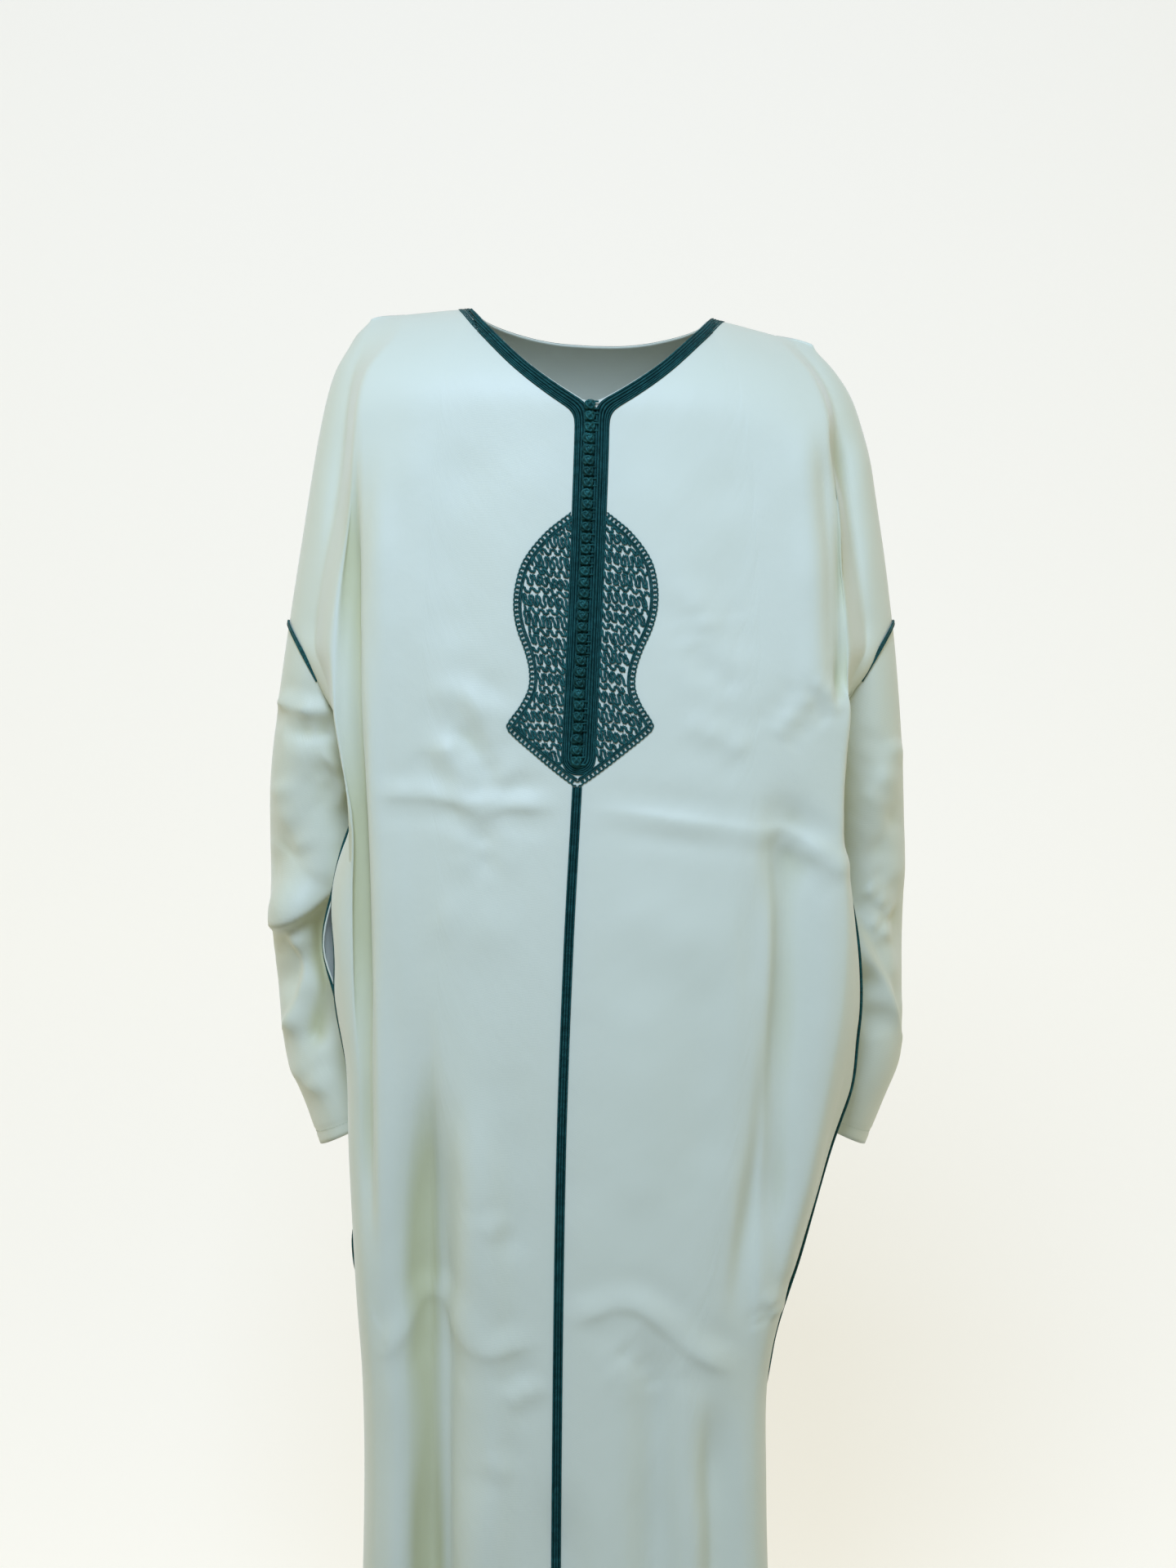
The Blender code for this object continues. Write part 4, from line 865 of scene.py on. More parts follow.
front = shell("robe_front", PANEL_GRIDS[FRONT], PANEL_NORMALS[FRONT], IVORY, PANEL_PAINTED_SHADE[FRONT])
back = shell("robe_back", PANEL_GRIDS[BACK], PANEL_NORMALS[BACK], IVORY, PANEL_PAINTED_SHADE[BACK])
SLEEVES, SLEEVE_PIECES = {}, {}
for side in (LEFT, RIGHT):
    grid = sleeve_grid(side)
    grid = smooth_grid(grid, 3)
    normals = grid_normals(grid)
    centre = grid.mean(1, keepdims=True)
    normals = normals * np.sign(((grid - centre) * normals).sum(-1).mean())
    x, z, turned = grid[..., 0], grid[..., 2], np.clip(-2.5 * normals[..., 1], -1, 1)
    height = crease_height(CREASES, side_name(side), x, z) * np.clip(turned, 0, 1)
    height -= 0.7 * crease_height(CREASES, side_name(side), x, z + 0.03) * np.clip(turned, -1, 0)
    height[:2] = 0.0
    height[CUFF_ROW] -= GROOVE
    grid = grid + normals * height[..., None]
    again = grid_normals(grid)
    normals = again * np.sign((again * normals).sum(-1).mean())
    SLEEVES[side] = (grid, normals)
    # The sleeves' troughs get the same painted shade.
    hollow = np.clip((-height - PAINTED_SHADE_START) / PAINTED_SHADE_DEPTH, 0.0, 1.0)
    SLEEVE_PIECES[side] = shell("robe_sleeve_" + side_name(side), grid, normals, IVORY, hollow)

# %% [markdown]
# ## Threads along paths
# A Geometry Nodes tree lays short threads along a path, each turned by a lean, so that a row of them reads
# as a twisted cord or as one column of a herringbone braid. Pitch, lean, size, side offset and seed are
# its inputs.

# %% Make the tree that lays threads along a path
TONES = (0.4, 1.0)


def tree_socket(tree, name, kind, default=None):
    socket = tree.interface.new_socket(name=name, in_out="INPUT", socket_type=kind)
    if default is not None:
        socket.default_value = default
    return socket


def make_thread_tree():
    tree = bpy.data.node_groups.new("threads_along_path", "GeometryNodeTree")
    tree.interface.new_socket(name="Geometry", in_out="INPUT", socket_type="NodeSocketGeometry")
    for name, default in (("Pitch", 0.0014), ("Offset", 0.0), ("Lift", 0.0006), ("Lean", 0.6),
                          ("Length", 0.003), ("Width", 0.0012), ("Height", 0.0012), ("Jitter", 0.06)):
        tree_socket(tree, name, "NodeSocketFloat", default)
    tree_socket(tree, "Seed", "NodeSocketInt", SEED)
    tree_socket(tree, "Material", "NodeSocketMaterial")
    tree.interface.new_socket(name="Geometry", in_out="OUTPUT", socket_type="NodeSocketGeometry")
    links, nodes = tree.links, tree.nodes
    ends = nodes.new("NodeGroupInput")

    curve = nodes.new("GeometryNodeMeshToCurve")
    links.new(ends.outputs["Geometry"], curve.inputs["Mesh"])
    even = nodes.new("GeometryNodeResampleCurve")
    even.mode = "LENGTH"
    links.new(curve.outputs["Curve"], even.inputs["Curve"])
    links.new(ends.outputs["Pitch"], even.inputs["Length"])

    out = nodes.new("GeometryNodeInputNamedAttribute")
    out.data_type = "FLOAT_VECTOR"
    out.inputs["Name"].default_value = "out"
    tangent = nodes.new("GeometryNodeInputTangent")
    keep = nodes.new("GeometryNodeCaptureAttribute")
    keep.capture_items.new("VECTOR", "tangent")
    keep.capture_items.new("VECTOR", "out")
    links.new(even.outputs["Curve"], keep.inputs["Geometry"])
    links.new(tangent.outputs["Tangent"], keep.inputs["tangent"])
    links.new(out.outputs["Attribute"], keep.inputs["out"])

    across = nodes.new("ShaderNodeVectorMath")
    across.operation = "CROSS_PRODUCT"
    links.new(keep.outputs["out"], across.inputs[0])
    links.new(keep.outputs["tangent"], across.inputs[1])
    beside = nodes.new("ShaderNodeVectorMath")
    beside.operation = "SCALE"
    links.new(across.outputs["Vector"], beside.inputs[0])
    links.new(ends.outputs["Offset"], beside.inputs["Scale"])
    above = nodes.new("ShaderNodeVectorMath")
    above.operation = "SCALE"
    links.new(keep.outputs["out"], above.inputs[0])
    links.new(ends.outputs["Lift"], above.inputs["Scale"])
    shift = nodes.new("ShaderNodeVectorMath")
    links.new(beside.outputs["Vector"], shift.inputs[0])
    links.new(above.outputs["Vector"], shift.inputs[1])
    moved = nodes.new("GeometryNodeSetPosition")
    links.new(keep.outputs["Geometry"], moved.inputs["Geometry"])
    links.new(shift.outputs["Vector"], moved.inputs["Offset"])

    facing = nodes.new("FunctionNodeAxesToRotation")
    facing.primary_axis, facing.secondary_axis = "Z", "X"
    links.new(keep.outputs["out"], facing.inputs["Primary Axis"])
    links.new(keep.outputs["tangent"], facing.inputs["Secondary Axis"])
    spread = nodes.new("ShaderNodeMath")
    spread.operation = "MULTIPLY"
    spread.inputs[1].default_value = -1.0
    links.new(ends.outputs["Jitter"], spread.inputs[0])
    chance = nodes.new("FunctionNodeRandomValue")
    chance.data_type = "FLOAT"
    links.new(spread.outputs["Value"], chance.inputs[2])
    links.new(ends.outputs["Jitter"], chance.inputs[3])
    links.new(ends.outputs["Seed"], chance.inputs["Seed"])
    lean = nodes.new("ShaderNodeMath")
    links.new(ends.outputs["Lean"], lean.inputs[0])
    links.new(chance.outputs[1], lean.inputs[1])
    turn = nodes.new("FunctionNodeAxisAngleToRotation")
    turn.inputs["Axis"].default_value = (0.0, 0.0, 1.0)
    links.new(lean.outputs["Value"], turn.inputs["Angle"])
    turned = nodes.new("FunctionNodeRotateRotation")
    turned.rotation_space = "LOCAL"
    links.new(facing.outputs["Rotation"], turned.inputs["Rotation"])
    links.new(turn.outputs["Rotation"], turned.inputs["Rotate By"])

    thread = nodes.new("GeometryNodeMeshUVSphere")
    thread.inputs["Segments"].default_value = 6
    thread.inputs["Rings"].default_value = 3
    thread.inputs["Radius"].default_value = 0.5
    lying = nodes.new("GeometryNodeTransform")
    lying.inputs["Rotation"].default_value = (0.0, math.pi / 2, 0.0)
    links.new(thread.outputs["Mesh"], lying.inputs["Geometry"])
    sizes = nodes.new("ShaderNodeCombineXYZ")
    for axis, name in (("X", "Length"), ("Y", "Width"), ("Z", "Height")):
        links.new(ends.outputs[name], sizes.inputs[axis])
    copies = nodes.new("GeometryNodeInstanceOnPoints")
    links.new(moved.outputs["Geometry"], copies.inputs["Points"])
    links.new(lying.outputs["Geometry"], copies.inputs["Instance"])
    links.new(turned.outputs["Rotation"], copies.inputs["Rotation"])
    links.new(sizes.outputs["Vector"], copies.inputs["Scale"])
    finish_tree(tree, copies.outputs["Instances"], ends)
    return tree


def finish_tree(tree, geometry, ends):
    """Gives each copy its own tone, realises what a tree made, smooths it and gives it its material."""
    tone = tree.nodes.new("FunctionNodeRandomValue")
    tone.data_type = "FLOAT"
    tone.inputs[2].default_value, tone.inputs[3].default_value = TONES
    shade = tree.nodes.new("GeometryNodeStoreNamedAttribute")
    shade.data_type, shade.domain = "FLOAT", "INSTANCE"
    shade.inputs["Name"].default_value = "tone"
    real = tree.nodes.new("GeometryNodeRealizeInstances")
    smooth = tree.nodes.new("GeometryNodeSetShadeSmooth")
    paint = tree.nodes.new("GeometryNodeSetMaterial")
    result = tree.nodes.new("NodeGroupOutput")
    tree.links.new(geometry, shade.inputs["Geometry"])
    tree.links.new(tone.outputs[1], shade.inputs["Value"])
    tree.links.new(shade.outputs["Geometry"], real.inputs["Geometry"])
    tree.links.new(real.outputs["Geometry"], smooth.inputs["Geometry"])
    tree.links.new(smooth.outputs["Geometry"], paint.inputs["Geometry"])
    tree.links.new(ends.outputs["Material"], paint.inputs["Material"])
    tree.links.new(paint.outputs["Geometry"], result.inputs["Geometry"])


# %% Run a tree on a path and keep the plain mesh
THREADS = make_thread_tree()


def path_mesh(name, points, outs, closed=False):
    """A line of edges that carries the way out of the cloth at each point."""
    mesh = bpy.data.meshes.new(name)
    count = len(points)
    edges = [(i, (i + 1) % count) for i in range(count if closed else count - 1)]
    mesh.from_pydata([tuple(p) for p in points], edges, [])
    attribute = mesh.attributes.new("out", "FLOAT_VECTOR", "POINT")
    attribute.data.foreach_set("vector", np.asarray(outs, np.float32).ravel())
    obj = bpy.data.objects.new(name, mesh)
    bpy.context.scene.collection.objects.link(obj)
    return obj


def set_input(modifier, name, value):
    for item in modifier.node_group.interface.items_tree:
        if item.item_type == "SOCKET" and item.in_out == "INPUT" and item.name == name:
            modifier[item.identifier] = value
            return
    raise KeyError(name)


def run_tree(tree, source, inputs):
    modifier = source.modifiers.new("shape", "NODES")
    modifier.node_group = tree
    for name, value in inputs.items():
        set_input(modifier, name, value)
    source.update_tag()
    graph = bpy.context.evaluated_depsgraph_get()
    graph.update()
    made = bpy.data.meshes.new_from_object(source.evaluated_get(graph), depsgraph=graph)
    source.modifiers.remove(modifier)
    return made


def lay_threads(lines, material, rows):
    """One mesh of threads for each row of settings, along each line."""
    made = []
    for points, outs, closed in lines:
        source = path_mesh("path", points, outs, closed)
        for row in rows:
            made.append(run_tree(THREADS, source, {"Material": material, "Seed": SEED + len(made), **row}))
        bpy.data.objects.remove(source, do_unlink=True)
    return made


def join(name, meshes, material):
    """One object of several plain meshes."""
    vertices, faces, tones, start = [], [], [], 0
    for mesh in meshes:
        points = np.zeros(len(mesh.vertices) * 3, np.float32)
        mesh.vertices.foreach_get("co", points)
        tone = np.zeros(len(mesh.vertices), np.float32)
        if "tone" in mesh.attributes:
            mesh.attributes["tone"].data.foreach_get("value", tone)
        tones.append(tone)
        vertices.append(points.reshape(-1, 3))
        faces += [tuple(start + i for i in polygon.vertices) for polygon in mesh.polygons]
        start += len(mesh.vertices)
        bpy.data.meshes.remove(mesh)
    obj = new_object(name, np.concatenate(vertices), faces, material)
    shade = obj.data.attributes.new("tone", "FLOAT", "POINT")
    shade.data.foreach_set("value", np.concatenate(tones))
    return obj

# %% [markdown]
# ## Braid round the neck and down the placket
# One set of lines runs round the neck, turns down at the V, goes round the placket's foot and up again.
# Outer ribs and inner herringbone columns follow it, each at its own distance from the neck edge.

# %% Find places on the cloth
def cloth_tree(*pieces):
    vertices, faces = [], []
    for piece in pieces:
        start = len(vertices)
        vertices += [v.co.copy() for v in piece.data.vertices]
        faces += [[start + i for i in p.vertices] for p in piece.data.polygons]
    return BVHTree.FromPolygons(vertices, faces)


FRONT_CLOTH = cloth_tree(front)
BODY_CLOTH = cloth_tree(front, back)


def front_place(x, z, lift=0.0):
    """The place on the front at an x and a z, moved forward."""
    hit = FRONT_CLOTH.ray_cast(Vector((x, -1.0, z)), Vector((0.0, 1.0, 0.0)))[0]
    if hit is None:
        hit = FRONT_CLOTH.find_nearest(Vector((x, -0.12, z)))[0]
    return np.array([x, hit.y - lift, z])


def snap_out(points, outs, lift):
    """Moves each point to the cloth and then out."""
    placed = []
    for point, out in zip(points, outs):
        hit = BODY_CLOTH.find_nearest(Vector(point))[0]
        placed.append(np.array(hit) + out * lift)
    return np.array(placed)


def centre_x(z):
    return float(read(DRIFT, "x", np.array(z)))


def soften(points, passes, closed=False):
    points = np.array(points, float)
    for _ in range(passes):
        mean = (np.roll(points, 1, 0) + np.roll(points, -1, 0)) / 2
        inside = slice(None) if closed else slice(1, -1)
        points[inside] = (points[inside] + mean[inside]) / 2
    return points


def resample(points, pitch, closed=False):
    points = np.array(points, float)
    if closed:
        points = np.concatenate([points, points[:1]])
    lengths = np.concatenate([[0.0], np.cumsum(np.linalg.norm(np.diff(points, axis=0), axis=1))])
    count = max(int(round(lengths[-1] / pitch)), 3)
    at = np.linspace(0.0, lengths[-1], count + 1)
    if closed:
        at = at[:-1]
    return np.stack([np.interp(at, lengths, column) for column in points.T], -1)


# %% Lay out the wishbone line at a distance from the neck edge
PLACKET_GAP = 0.0020
PLACKET_TURN_PASSES = 22


def neck_line(panel, side, distance):
    """Points from the middle of the back or front to the shoulder, at a distance from the edge."""
    grid, normals = PANEL_GRIDS[panel], PANEL_NORMALS[panel]
    middle = grid.shape[1] // 2
    top = grid[0]
    inside = [c for c in range(grid.shape[1]) if abs(top[c, 0]) <= NECK_HALF + 0.0005]
    inside = [c for c in inside if (c - middle) * side >= 0]
    inside.sort(key=lambda c: abs(c - middle))
    edge = top[inside]
    run = unit(np.gradient(edge, axis=0))
    out = unit(normals[3][inside])
    way = unit(np.cross(out, run))
    down = unit(grid[6][inside] - edge)
    way = way * np.sign((way * down).sum(-1))[:, None]
    blend = np.linspace(0.0, 1.0, len(way))[:, None] ** 6
    sideways = np.array([side, 0.0, -0.25])
    way = unit(way * (1 - blend) + unit(sideways) * blend)
    return edge + way * distance, out


def wishbone(distance, lift):
    """The closed line, seen from the front: down the left side, round the foot and up the right."""
    halves = []
    for side in (LEFT, RIGHT):
        neck, _ = neck_line(FRONT, side, distance)
        offset = PLACKET_GAP + distance
        gap = np.array([side * (x - centre_x(z)) for x, _, z in neck])
        keep = gap > offset
        upper = neck[keep][::-1]
        top = upper[-1, 2]
        low = PLACKET_LOW_Z + 0.016
        heights = np.linspace(top - 0.002, low, 160)
        lower = np.array([front_place(centre_x(z) + side * offset, z) for z in heights])
        line = resample(np.concatenate([upper, lower]), 0.002)
        line = soften(line, PLACKET_TURN_PASSES)
        halves.append(line)
    turns = np.linspace(0.0, math.pi, 14)[1:-1]
    low = PLACKET_LOW_Z + 0.016
    radius = PLACKET_GAP + distance
    foot = [front_place(centre_x(low) - radius * math.cos(t), low - radius * math.sin(t)) for t in turns]
    front_part = np.concatenate([halves[0], foot, halves[1][::-1]])
    back_left, _ = neck_line(BACK, LEFT, distance)
    back_right, _ = neck_line(BACK, RIGHT, distance)
    line = np.concatenate([front_part, back_right[::-1], back_left[1:]])
    line = soften(resample(line, 0.0015, closed=True), 3, closed=True)
    outs = line_outs(line)
    return snap_out(line, outs, lift), outs


def line_outs(line):
    """The way out of the cloth along a line, smoothed."""
    outs = []
    for point in line:
        hit, normal, _, _ = BODY_CLOTH.find_nearest(Vector(point))
        away = Vector((hit.x * 0.35, hit.y, 0.05))
        outs.append(np.array(normal if normal.dot(away) > 0 else -normal))
    outs = np.array(outs)
    for _ in range(8):
        outs = unit(np.roll(outs, 1, 0) + 2 * outs + np.roll(outs, -1, 0))
    return outs


# %% Build the neck and placket braid
Row = namedtuple("Row", "distance lean length width height pitch lift")
RIB_ROWS = [
    Row(0.0132, 0.50, 0.0026, 0.0012, 0.0016, 0.00105, 0.0012),
    Row(0.0114, -0.50, 0.0026, 0.0012, 0.0016, 0.00105, 0.0013),
    Row(0.0096, 0.50, 0.0026, 0.0012, 0.0016, 0.00105, 0.0012),
]
BAND_ROWS = [
    Row(0.0073, 0.70, 0.0036, 0.0013, 0.0017, 0.00135, 0.0014),
    Row(0.0047, 0.70, 0.0038, 0.0013, 0.0019, 0.00135, 0.0016),
    Row(0.0021, -0.70, 0.0036, 0.0013, 0.0017, 0.00135, 0.0014),
]


def tape(lines, closed=True, height=0.0007):
    """A thin band between two lines that run side by side."""
    (first, first_outs), (second, second_outs) = lines
    ring = np.stack([first + first_outs * height, second + second_outs * height,
                     second + second_outs * 0.0002, first + first_outs * 0.0002], 1)
    count = len(ring)
    faces = []
    for i in range(count if closed else count - 1):
        after = (i + 1) % count
        faces += [(i * 4 + j, i * 4 + (j + 1) % 4, after * 4 + (j + 1) % 4, after * 4 + j) for j in range(4)]
    if not closed:
        faces += [(3, 2, 1, 0), tuple(4 * (count - 1) + j for j in range(4))]
    mesh = bpy.data.meshes.new("tape")
    mesh.from_pydata([tuple(v) for v in ring.reshape(-1, 3)], [], faces)
    return mesh


def even_line(distance, count):
    line, _ = wishbone(distance, 0.0)
    pitch = np.linalg.norm(np.diff(line, axis=0), axis=1).sum() / count
    line = resample(line, pitch, closed=True)
    at = np.linspace(0, len(line) - 1, count).astype(int)
    return line[at], line_outs(line[at])


def braid_rows(name, rows, under=()):
    meshes = list(under)
    for row in rows:
        line, outs = wishbone(row.distance, 0.0)
        meshes += lay_threads([(line, outs, True)], TEAL,
                              [dict(Pitch=row.pitch, Lift=row.lift, Lean=row.lean, Length=row.length,
                                    Width=row.width, Height=row.height)])
    return join(name, meshes, TEAL)


TAPE_POINTS = 700
RIB_TAPE, BAND_TAPE = (0.0142, 0.0078), (0.0080, 0.0008)


def tape_between(edges):
    return tape([even_line(distance, TAPE_POINTS) for distance in edges])


braid_ribs = braid_rows("braid_ribs", RIB_ROWS, [tape_between(RIB_TAPE)])
braid_bands = braid_rows("braid_bands", BAND_ROWS, [tape_between(BAND_TAPE)])

# %% [markdown]
# ## Centre braid and cords on the seams
# The centre braid runs from the medallion's point to the hem. A cord lies on each armhole seam where the
# cloth lies open, and half a cord on each panel's side edge, so that the two part round the pocket slit.

# %% Build the centre braid
def front_line(heights, offset=0.0):
    line = np.array([front_place(centre_x(z) + offset, z) for z in heights])
    return soften(line, 4)


def facing_front(line):
    return np.tile(np.array([0.0, -1.0, 0.0]), (len(line), 1))


def front_strip(top, low, half_width, height, count):
    heights = np.linspace(top, low, count)
    sides = [front_line(heights, offset) for offset in (half_width, -half_width)]
    return tape([(line, facing_front(line)) for line in sides], closed=False, height=height)


CENTRE_ROWS = [
    dict(Offset=-0.0036, Lean=0.55, Length=0.0028, Width=0.0013, Height=0.0017, Pitch=0.00125, Lift=0.0012),
    dict(Offset=-0.0013, Lean=-0.75, Length=0.0034, Width=0.0013, Height=0.0018, Pitch=0.00150, Lift=0.0014),
    dict(Offset=0.0013, Lean=0.75, Length=0.0034, Width=0.0013, Height=0.0018, Pitch=0.00150, Lift=0.0014),
    dict(Offset=0.0036, Lean=-0.55, Length=0.0028, Width=0.0013, Height=0.0017, Pitch=0.00125, Lift=0.0012),
]
line = front_line(np.linspace(MEDALLION_LOW_Z - 0.001, HEM_Z + 0.001, 260))
under = front_strip(MEDALLION_LOW_Z - 0.001, HEM_Z + 0.001, 0.0045, 0.0008, 260)
centre_cords = lay_threads([(line, facing_front(line), False)], TEAL, CENTRE_ROWS)
centre_braid = join("centre_braid_cords", [under] + centre_cords, TEAL)


# %% Build the cords on the armhole and side seams
def seam_cord(name, line, outs, offsets, width):
    rows = []
    for i, offset in enumerate(offsets):
        rows.append(dict(Offset=offset, Lean=0.5 if i % 2 else -0.5, Length=width * 1.7, Width=width * 0.72,
                         Height=width * 0.85, Pitch=width * 0.62, Lift=width * 0.42))
    return join(name, lay_threads([(line, outs, False)], TEAL, rows), TEAL)


ARMHOLE_REACH = 84
SIDE_CORD = dict(Lean=0.55, Length=0.0042, Width=0.0019, Height=0.0036, Pitch=0.0017, Lift=0.0015)
armhole_cords, side_cords = {}, {}
for side in (LEFT, RIGHT):
    grid, normals = SLEEVES[side]
    angles = np.degrees(np.linspace(math.pi, 3 * math.pi, SLEEVE_ANGLES + 1))
    keep = np.abs(angles - 360) <= ARMHOLE_REACH
    armhole_cords[side] = seam_cord("armhole_cord_" + side_name(side), grid[0][keep], normals[2][keep],
                                    (-0.0011, 0.0011), 0.0027)
    for panel in (FRONT, BACK):
        edge, inner = (0, 3) if side == LEFT else (-1, -4)
        grid_of, normals_of = PANEL_GRIDS[panel], PANEL_NORMALS[panel]
        rows = grid_of[:, edge, 2] < UNDERARM_Z - SIDE_PIPING_DROP
        line = grid_of[rows, edge]
        into = unit(grid_of[rows, inner] - line)
        line = soften(line + into * 0.0015, 3)
        name = "side_cord_%s_%s" % (side_name(side), "front" if panel == FRONT else "back")
        cord = lay_threads([(line, normals_of[rows, inner], False)], TEAL, [SIDE_CORD])
        side_cords[side, panel] = join(name, cord, TEAL)

# %% [markdown]
# ## Knots
# Each knot is a ball wound of cord, with the loop that holds it lying round its foot. The tree below sets
# one at each point of a line, with a small turn of its own, as knots tied by hand have.

# %% Make the knot
def tube(points, radius, sides, closed=True):
    """Vertices and faces of a round cord along points."""
    points = np.array(points, float)
    if closed:
        tangent = unit(np.roll(points, -1, 0) - np.roll(points, 1, 0))
    else:
        tangent = unit(np.gradient(points, axis=0))
    middle = points.mean(0)
    first = unit(np.cross(tangent, points - middle + 1e-6))
    second = np.cross(tangent, first)
    turns = np.linspace(0.0, 2 * math.pi, sides, endpoint=False)
    cos, sin = np.cos(turns)[None, :, None], np.sin(turns)[None, :, None]
    ring = points[:, None] + radius * (first[:, None] * cos + second[:, None] * sin)
    count = len(points)
    faces = []
    for i in range(count if closed else count - 1):
        for j in range(sides):
            a, b = i * sides + j, i * sides + (j + 1) % sides
            c, d = ((i + 1) % count) * sides + (j + 1) % sides, ((i + 1) % count) * sides + j
            faces.append((a, d, c, b))
    if not closed:
        faces.append(tuple(range(sides)))
        faces.append(tuple((count - 1) * sides + j for j in reversed(range(sides))))
    return ring.reshape(-1, 3), faces


def merge_parts(parts):
    vertices, faces = [], []
    for points, polygons in parts:
        start = sum(len(v) for v in vertices)
        vertices.append(points)
        faces += [tuple(start + i for i in f) for f in polygons]
    return np.concatenate(vertices), faces


KNOT_CORD = 0.00115
KNOT_SIZE = Vector((0.0040, 0.0034, 0.0043))


def knot_parts():
    t = np.linspace(0.0, 2 * math.pi, 120, endpoint=False)
    high = 0.95 * np.sin(4 * t)
    weave = 1 + 0.13 * np.cos(4 * t) * np.sin(12 * t)
    x = np.cos(3 * t) * np.cos(high) * weave * KNOT_SIZE.x
    y = np.sin(3 * t) * np.cos(high) * weave * KNOT_SIZE.y
    z = np.sin(high) * weave * KNOT_SIZE.z
    wound = tube(np.stack([x, y, z], -1), KNOT_CORD, 5)
    ball = bmesh.new()
    bmesh.ops.create_uvsphere(ball, u_segments=10, v_segments=7, radius=0.9)
    core = (np.array([v.co for v in ball.verts]) * np.array(KNOT_SIZE),
            [tuple(v.index for v in f.verts) for f in ball.faces])
    ball.free()
    turn = np.linspace(0.25 * math.pi, 1.75 * math.pi, 22)
    loop = np.stack([0.0052 * np.cos(turn), np.full(22, KNOT_SIZE.y * 0.75), 0.0047 * np.sin(turn)], -1)
    tail = np.array([(0.0078, KNOT_SIZE.y * 0.85, 0.0035)])
    tail_low = np.array([(0.0078, KNOT_SIZE.y * 0.85, -0.0035)])
    held = tube(np.concatenate([tail, loop, tail_low]), 0.00095, 6, closed=False)
    return merge_parts([wound, core, held])


def make_copies_tree():
    tree = bpy.data.node_groups.new("knots_at_points", "GeometryNodeTree")
    tree.interface.new_socket(name="Geometry", in_out="INPUT", socket_type="NodeSocketGeometry")
    tree_socket(tree, "Knot", "NodeSocketObject")
    tree_socket(tree, "Jitter", "NodeSocketFloat", 0.2)
    tree_socket(tree, "Seed", "NodeSocketInt", SEED)
    tree_socket(tree, "Material", "NodeSocketMaterial")
    tree.interface.new_socket(name="Geometry", in_out="OUTPUT", socket_type="NodeSocketGeometry")
    links, nodes = tree.links, tree.nodes
    ends = nodes.new("NodeGroupInput")
    points = nodes.new("GeometryNodeMeshToPoints")
    links.new(ends.outputs["Geometry"], points.inputs["Mesh"])
    source = nodes.new("GeometryNodeObjectInfo")
    links.new(ends.outputs["Knot"], source.inputs["Object"])
    spread = nodes.new("ShaderNodeCombineXYZ")
    less = nodes.new("ShaderNodeVectorMath")
    less.operation = "SCALE"
    less.inputs["Scale"].default_value = -1.0
    for axis, share in (("X", 1.0), ("Y", 0.6), ("Z", 1.0)):
        part = nodes.new("ShaderNodeMath")
        part.operation = "MULTIPLY"
        part.inputs[1].default_value = share
        links.new(ends.outputs["Jitter"], part.inputs[0])
        links.new(part.outputs["Value"], spread.inputs[axis])
    links.new(spread.outputs["Vector"], less.inputs[0])
    chance = nodes.new("FunctionNodeRandomValue")
    chance.data_type = "FLOAT_VECTOR"
    links.new(less.outputs["Vector"], chance.inputs[0])
    links.new(spread.outputs["Vector"], chance.inputs[1])
    links.new(ends.outputs["Seed"], chance.inputs["Seed"])
    turn = nodes.new("FunctionNodeEulerToRotation")
    links.new(chance.outputs[0], turn.inputs["Euler"])
    copies = nodes.new("GeometryNodeInstanceOnPoints")
    links.new(points.outputs["Points"], copies.inputs["Points"])
    links.new(source.outputs["Geometry"], copies.inputs["Instance"])
    links.new(turn.outputs["Rotation"], copies.inputs["Rotation"])
    finish_tree(tree, copies.outputs["Instances"], ends)
    return tree


# %% Set the knots on the placket
KNOT_SHIFT = -0.0022
KNOT_LIFT = 0.0046
knot_points = []
for i in range(KNOT_COUNT):
    z = KNOT_TOP_Z - KNOT_PITCH * i
    knot_points.append(front_place(centre_x(z) + KNOT_SHIFT, min(z, KNOT_TOP_Z - KNOT_PITCH), KNOT_LIFT))
    knot_points[-1][2] = z
knot_vertices, knot_faces = knot_parts()
one_knot = new_object("one_knot", knot_vertices, knot_faces, TEAL)
seats = path_mesh("knot_seats", knot_points, facing_front(knot_points))
made = run_tree(make_copies_tree(), seats, {"Knot": one_knot, "Jitter": 0.22, "Seed": SEED, "Material": TEAL})
# Painted shade: a dark teal strip under the knots fills the gaps between them, where the cloth lies in shade.
under = front_strip(KNOT_TOP_Z - 0.2 * KNOT_PITCH, PLACKET_LOW_Z + 0.004, 0.0036, 0.0009, 120)
knots = join("knots", [under, made], TEAL)
for spare in (one_knot, seats):
    bpy.data.objects.remove(spare, do_unlink=True)

# %% [markdown]
# ## Medallion
# A corded appliqué in two halves beside the placket. A looping cord edges it, two cords line the edge, and
# slanting rows of a meandering cord fill it, with white cloth between. All are generated by rule.

# %% Lay the medallion's lines
LOOP_PITCH, LOOP_REACH = 0.0046, 0.0017
ROW_HEIGHTS, LEG_PITCHES = (0.0116, 0.0066), (0.0034, 0.0041)
ROW_SLANT = 0.14
FILL_INSET = 0.0088


def outline_width(z):
    return read(MEDALLION, "half_width", np.asarray(z))


def on_front(flat, lift=0.0):
    """Puts points of the flat pattern, given as x from the centre line and z, on the cloth."""
    return np.array([front_place(centre_x(z) + x, z, lift) for x, z in flat])


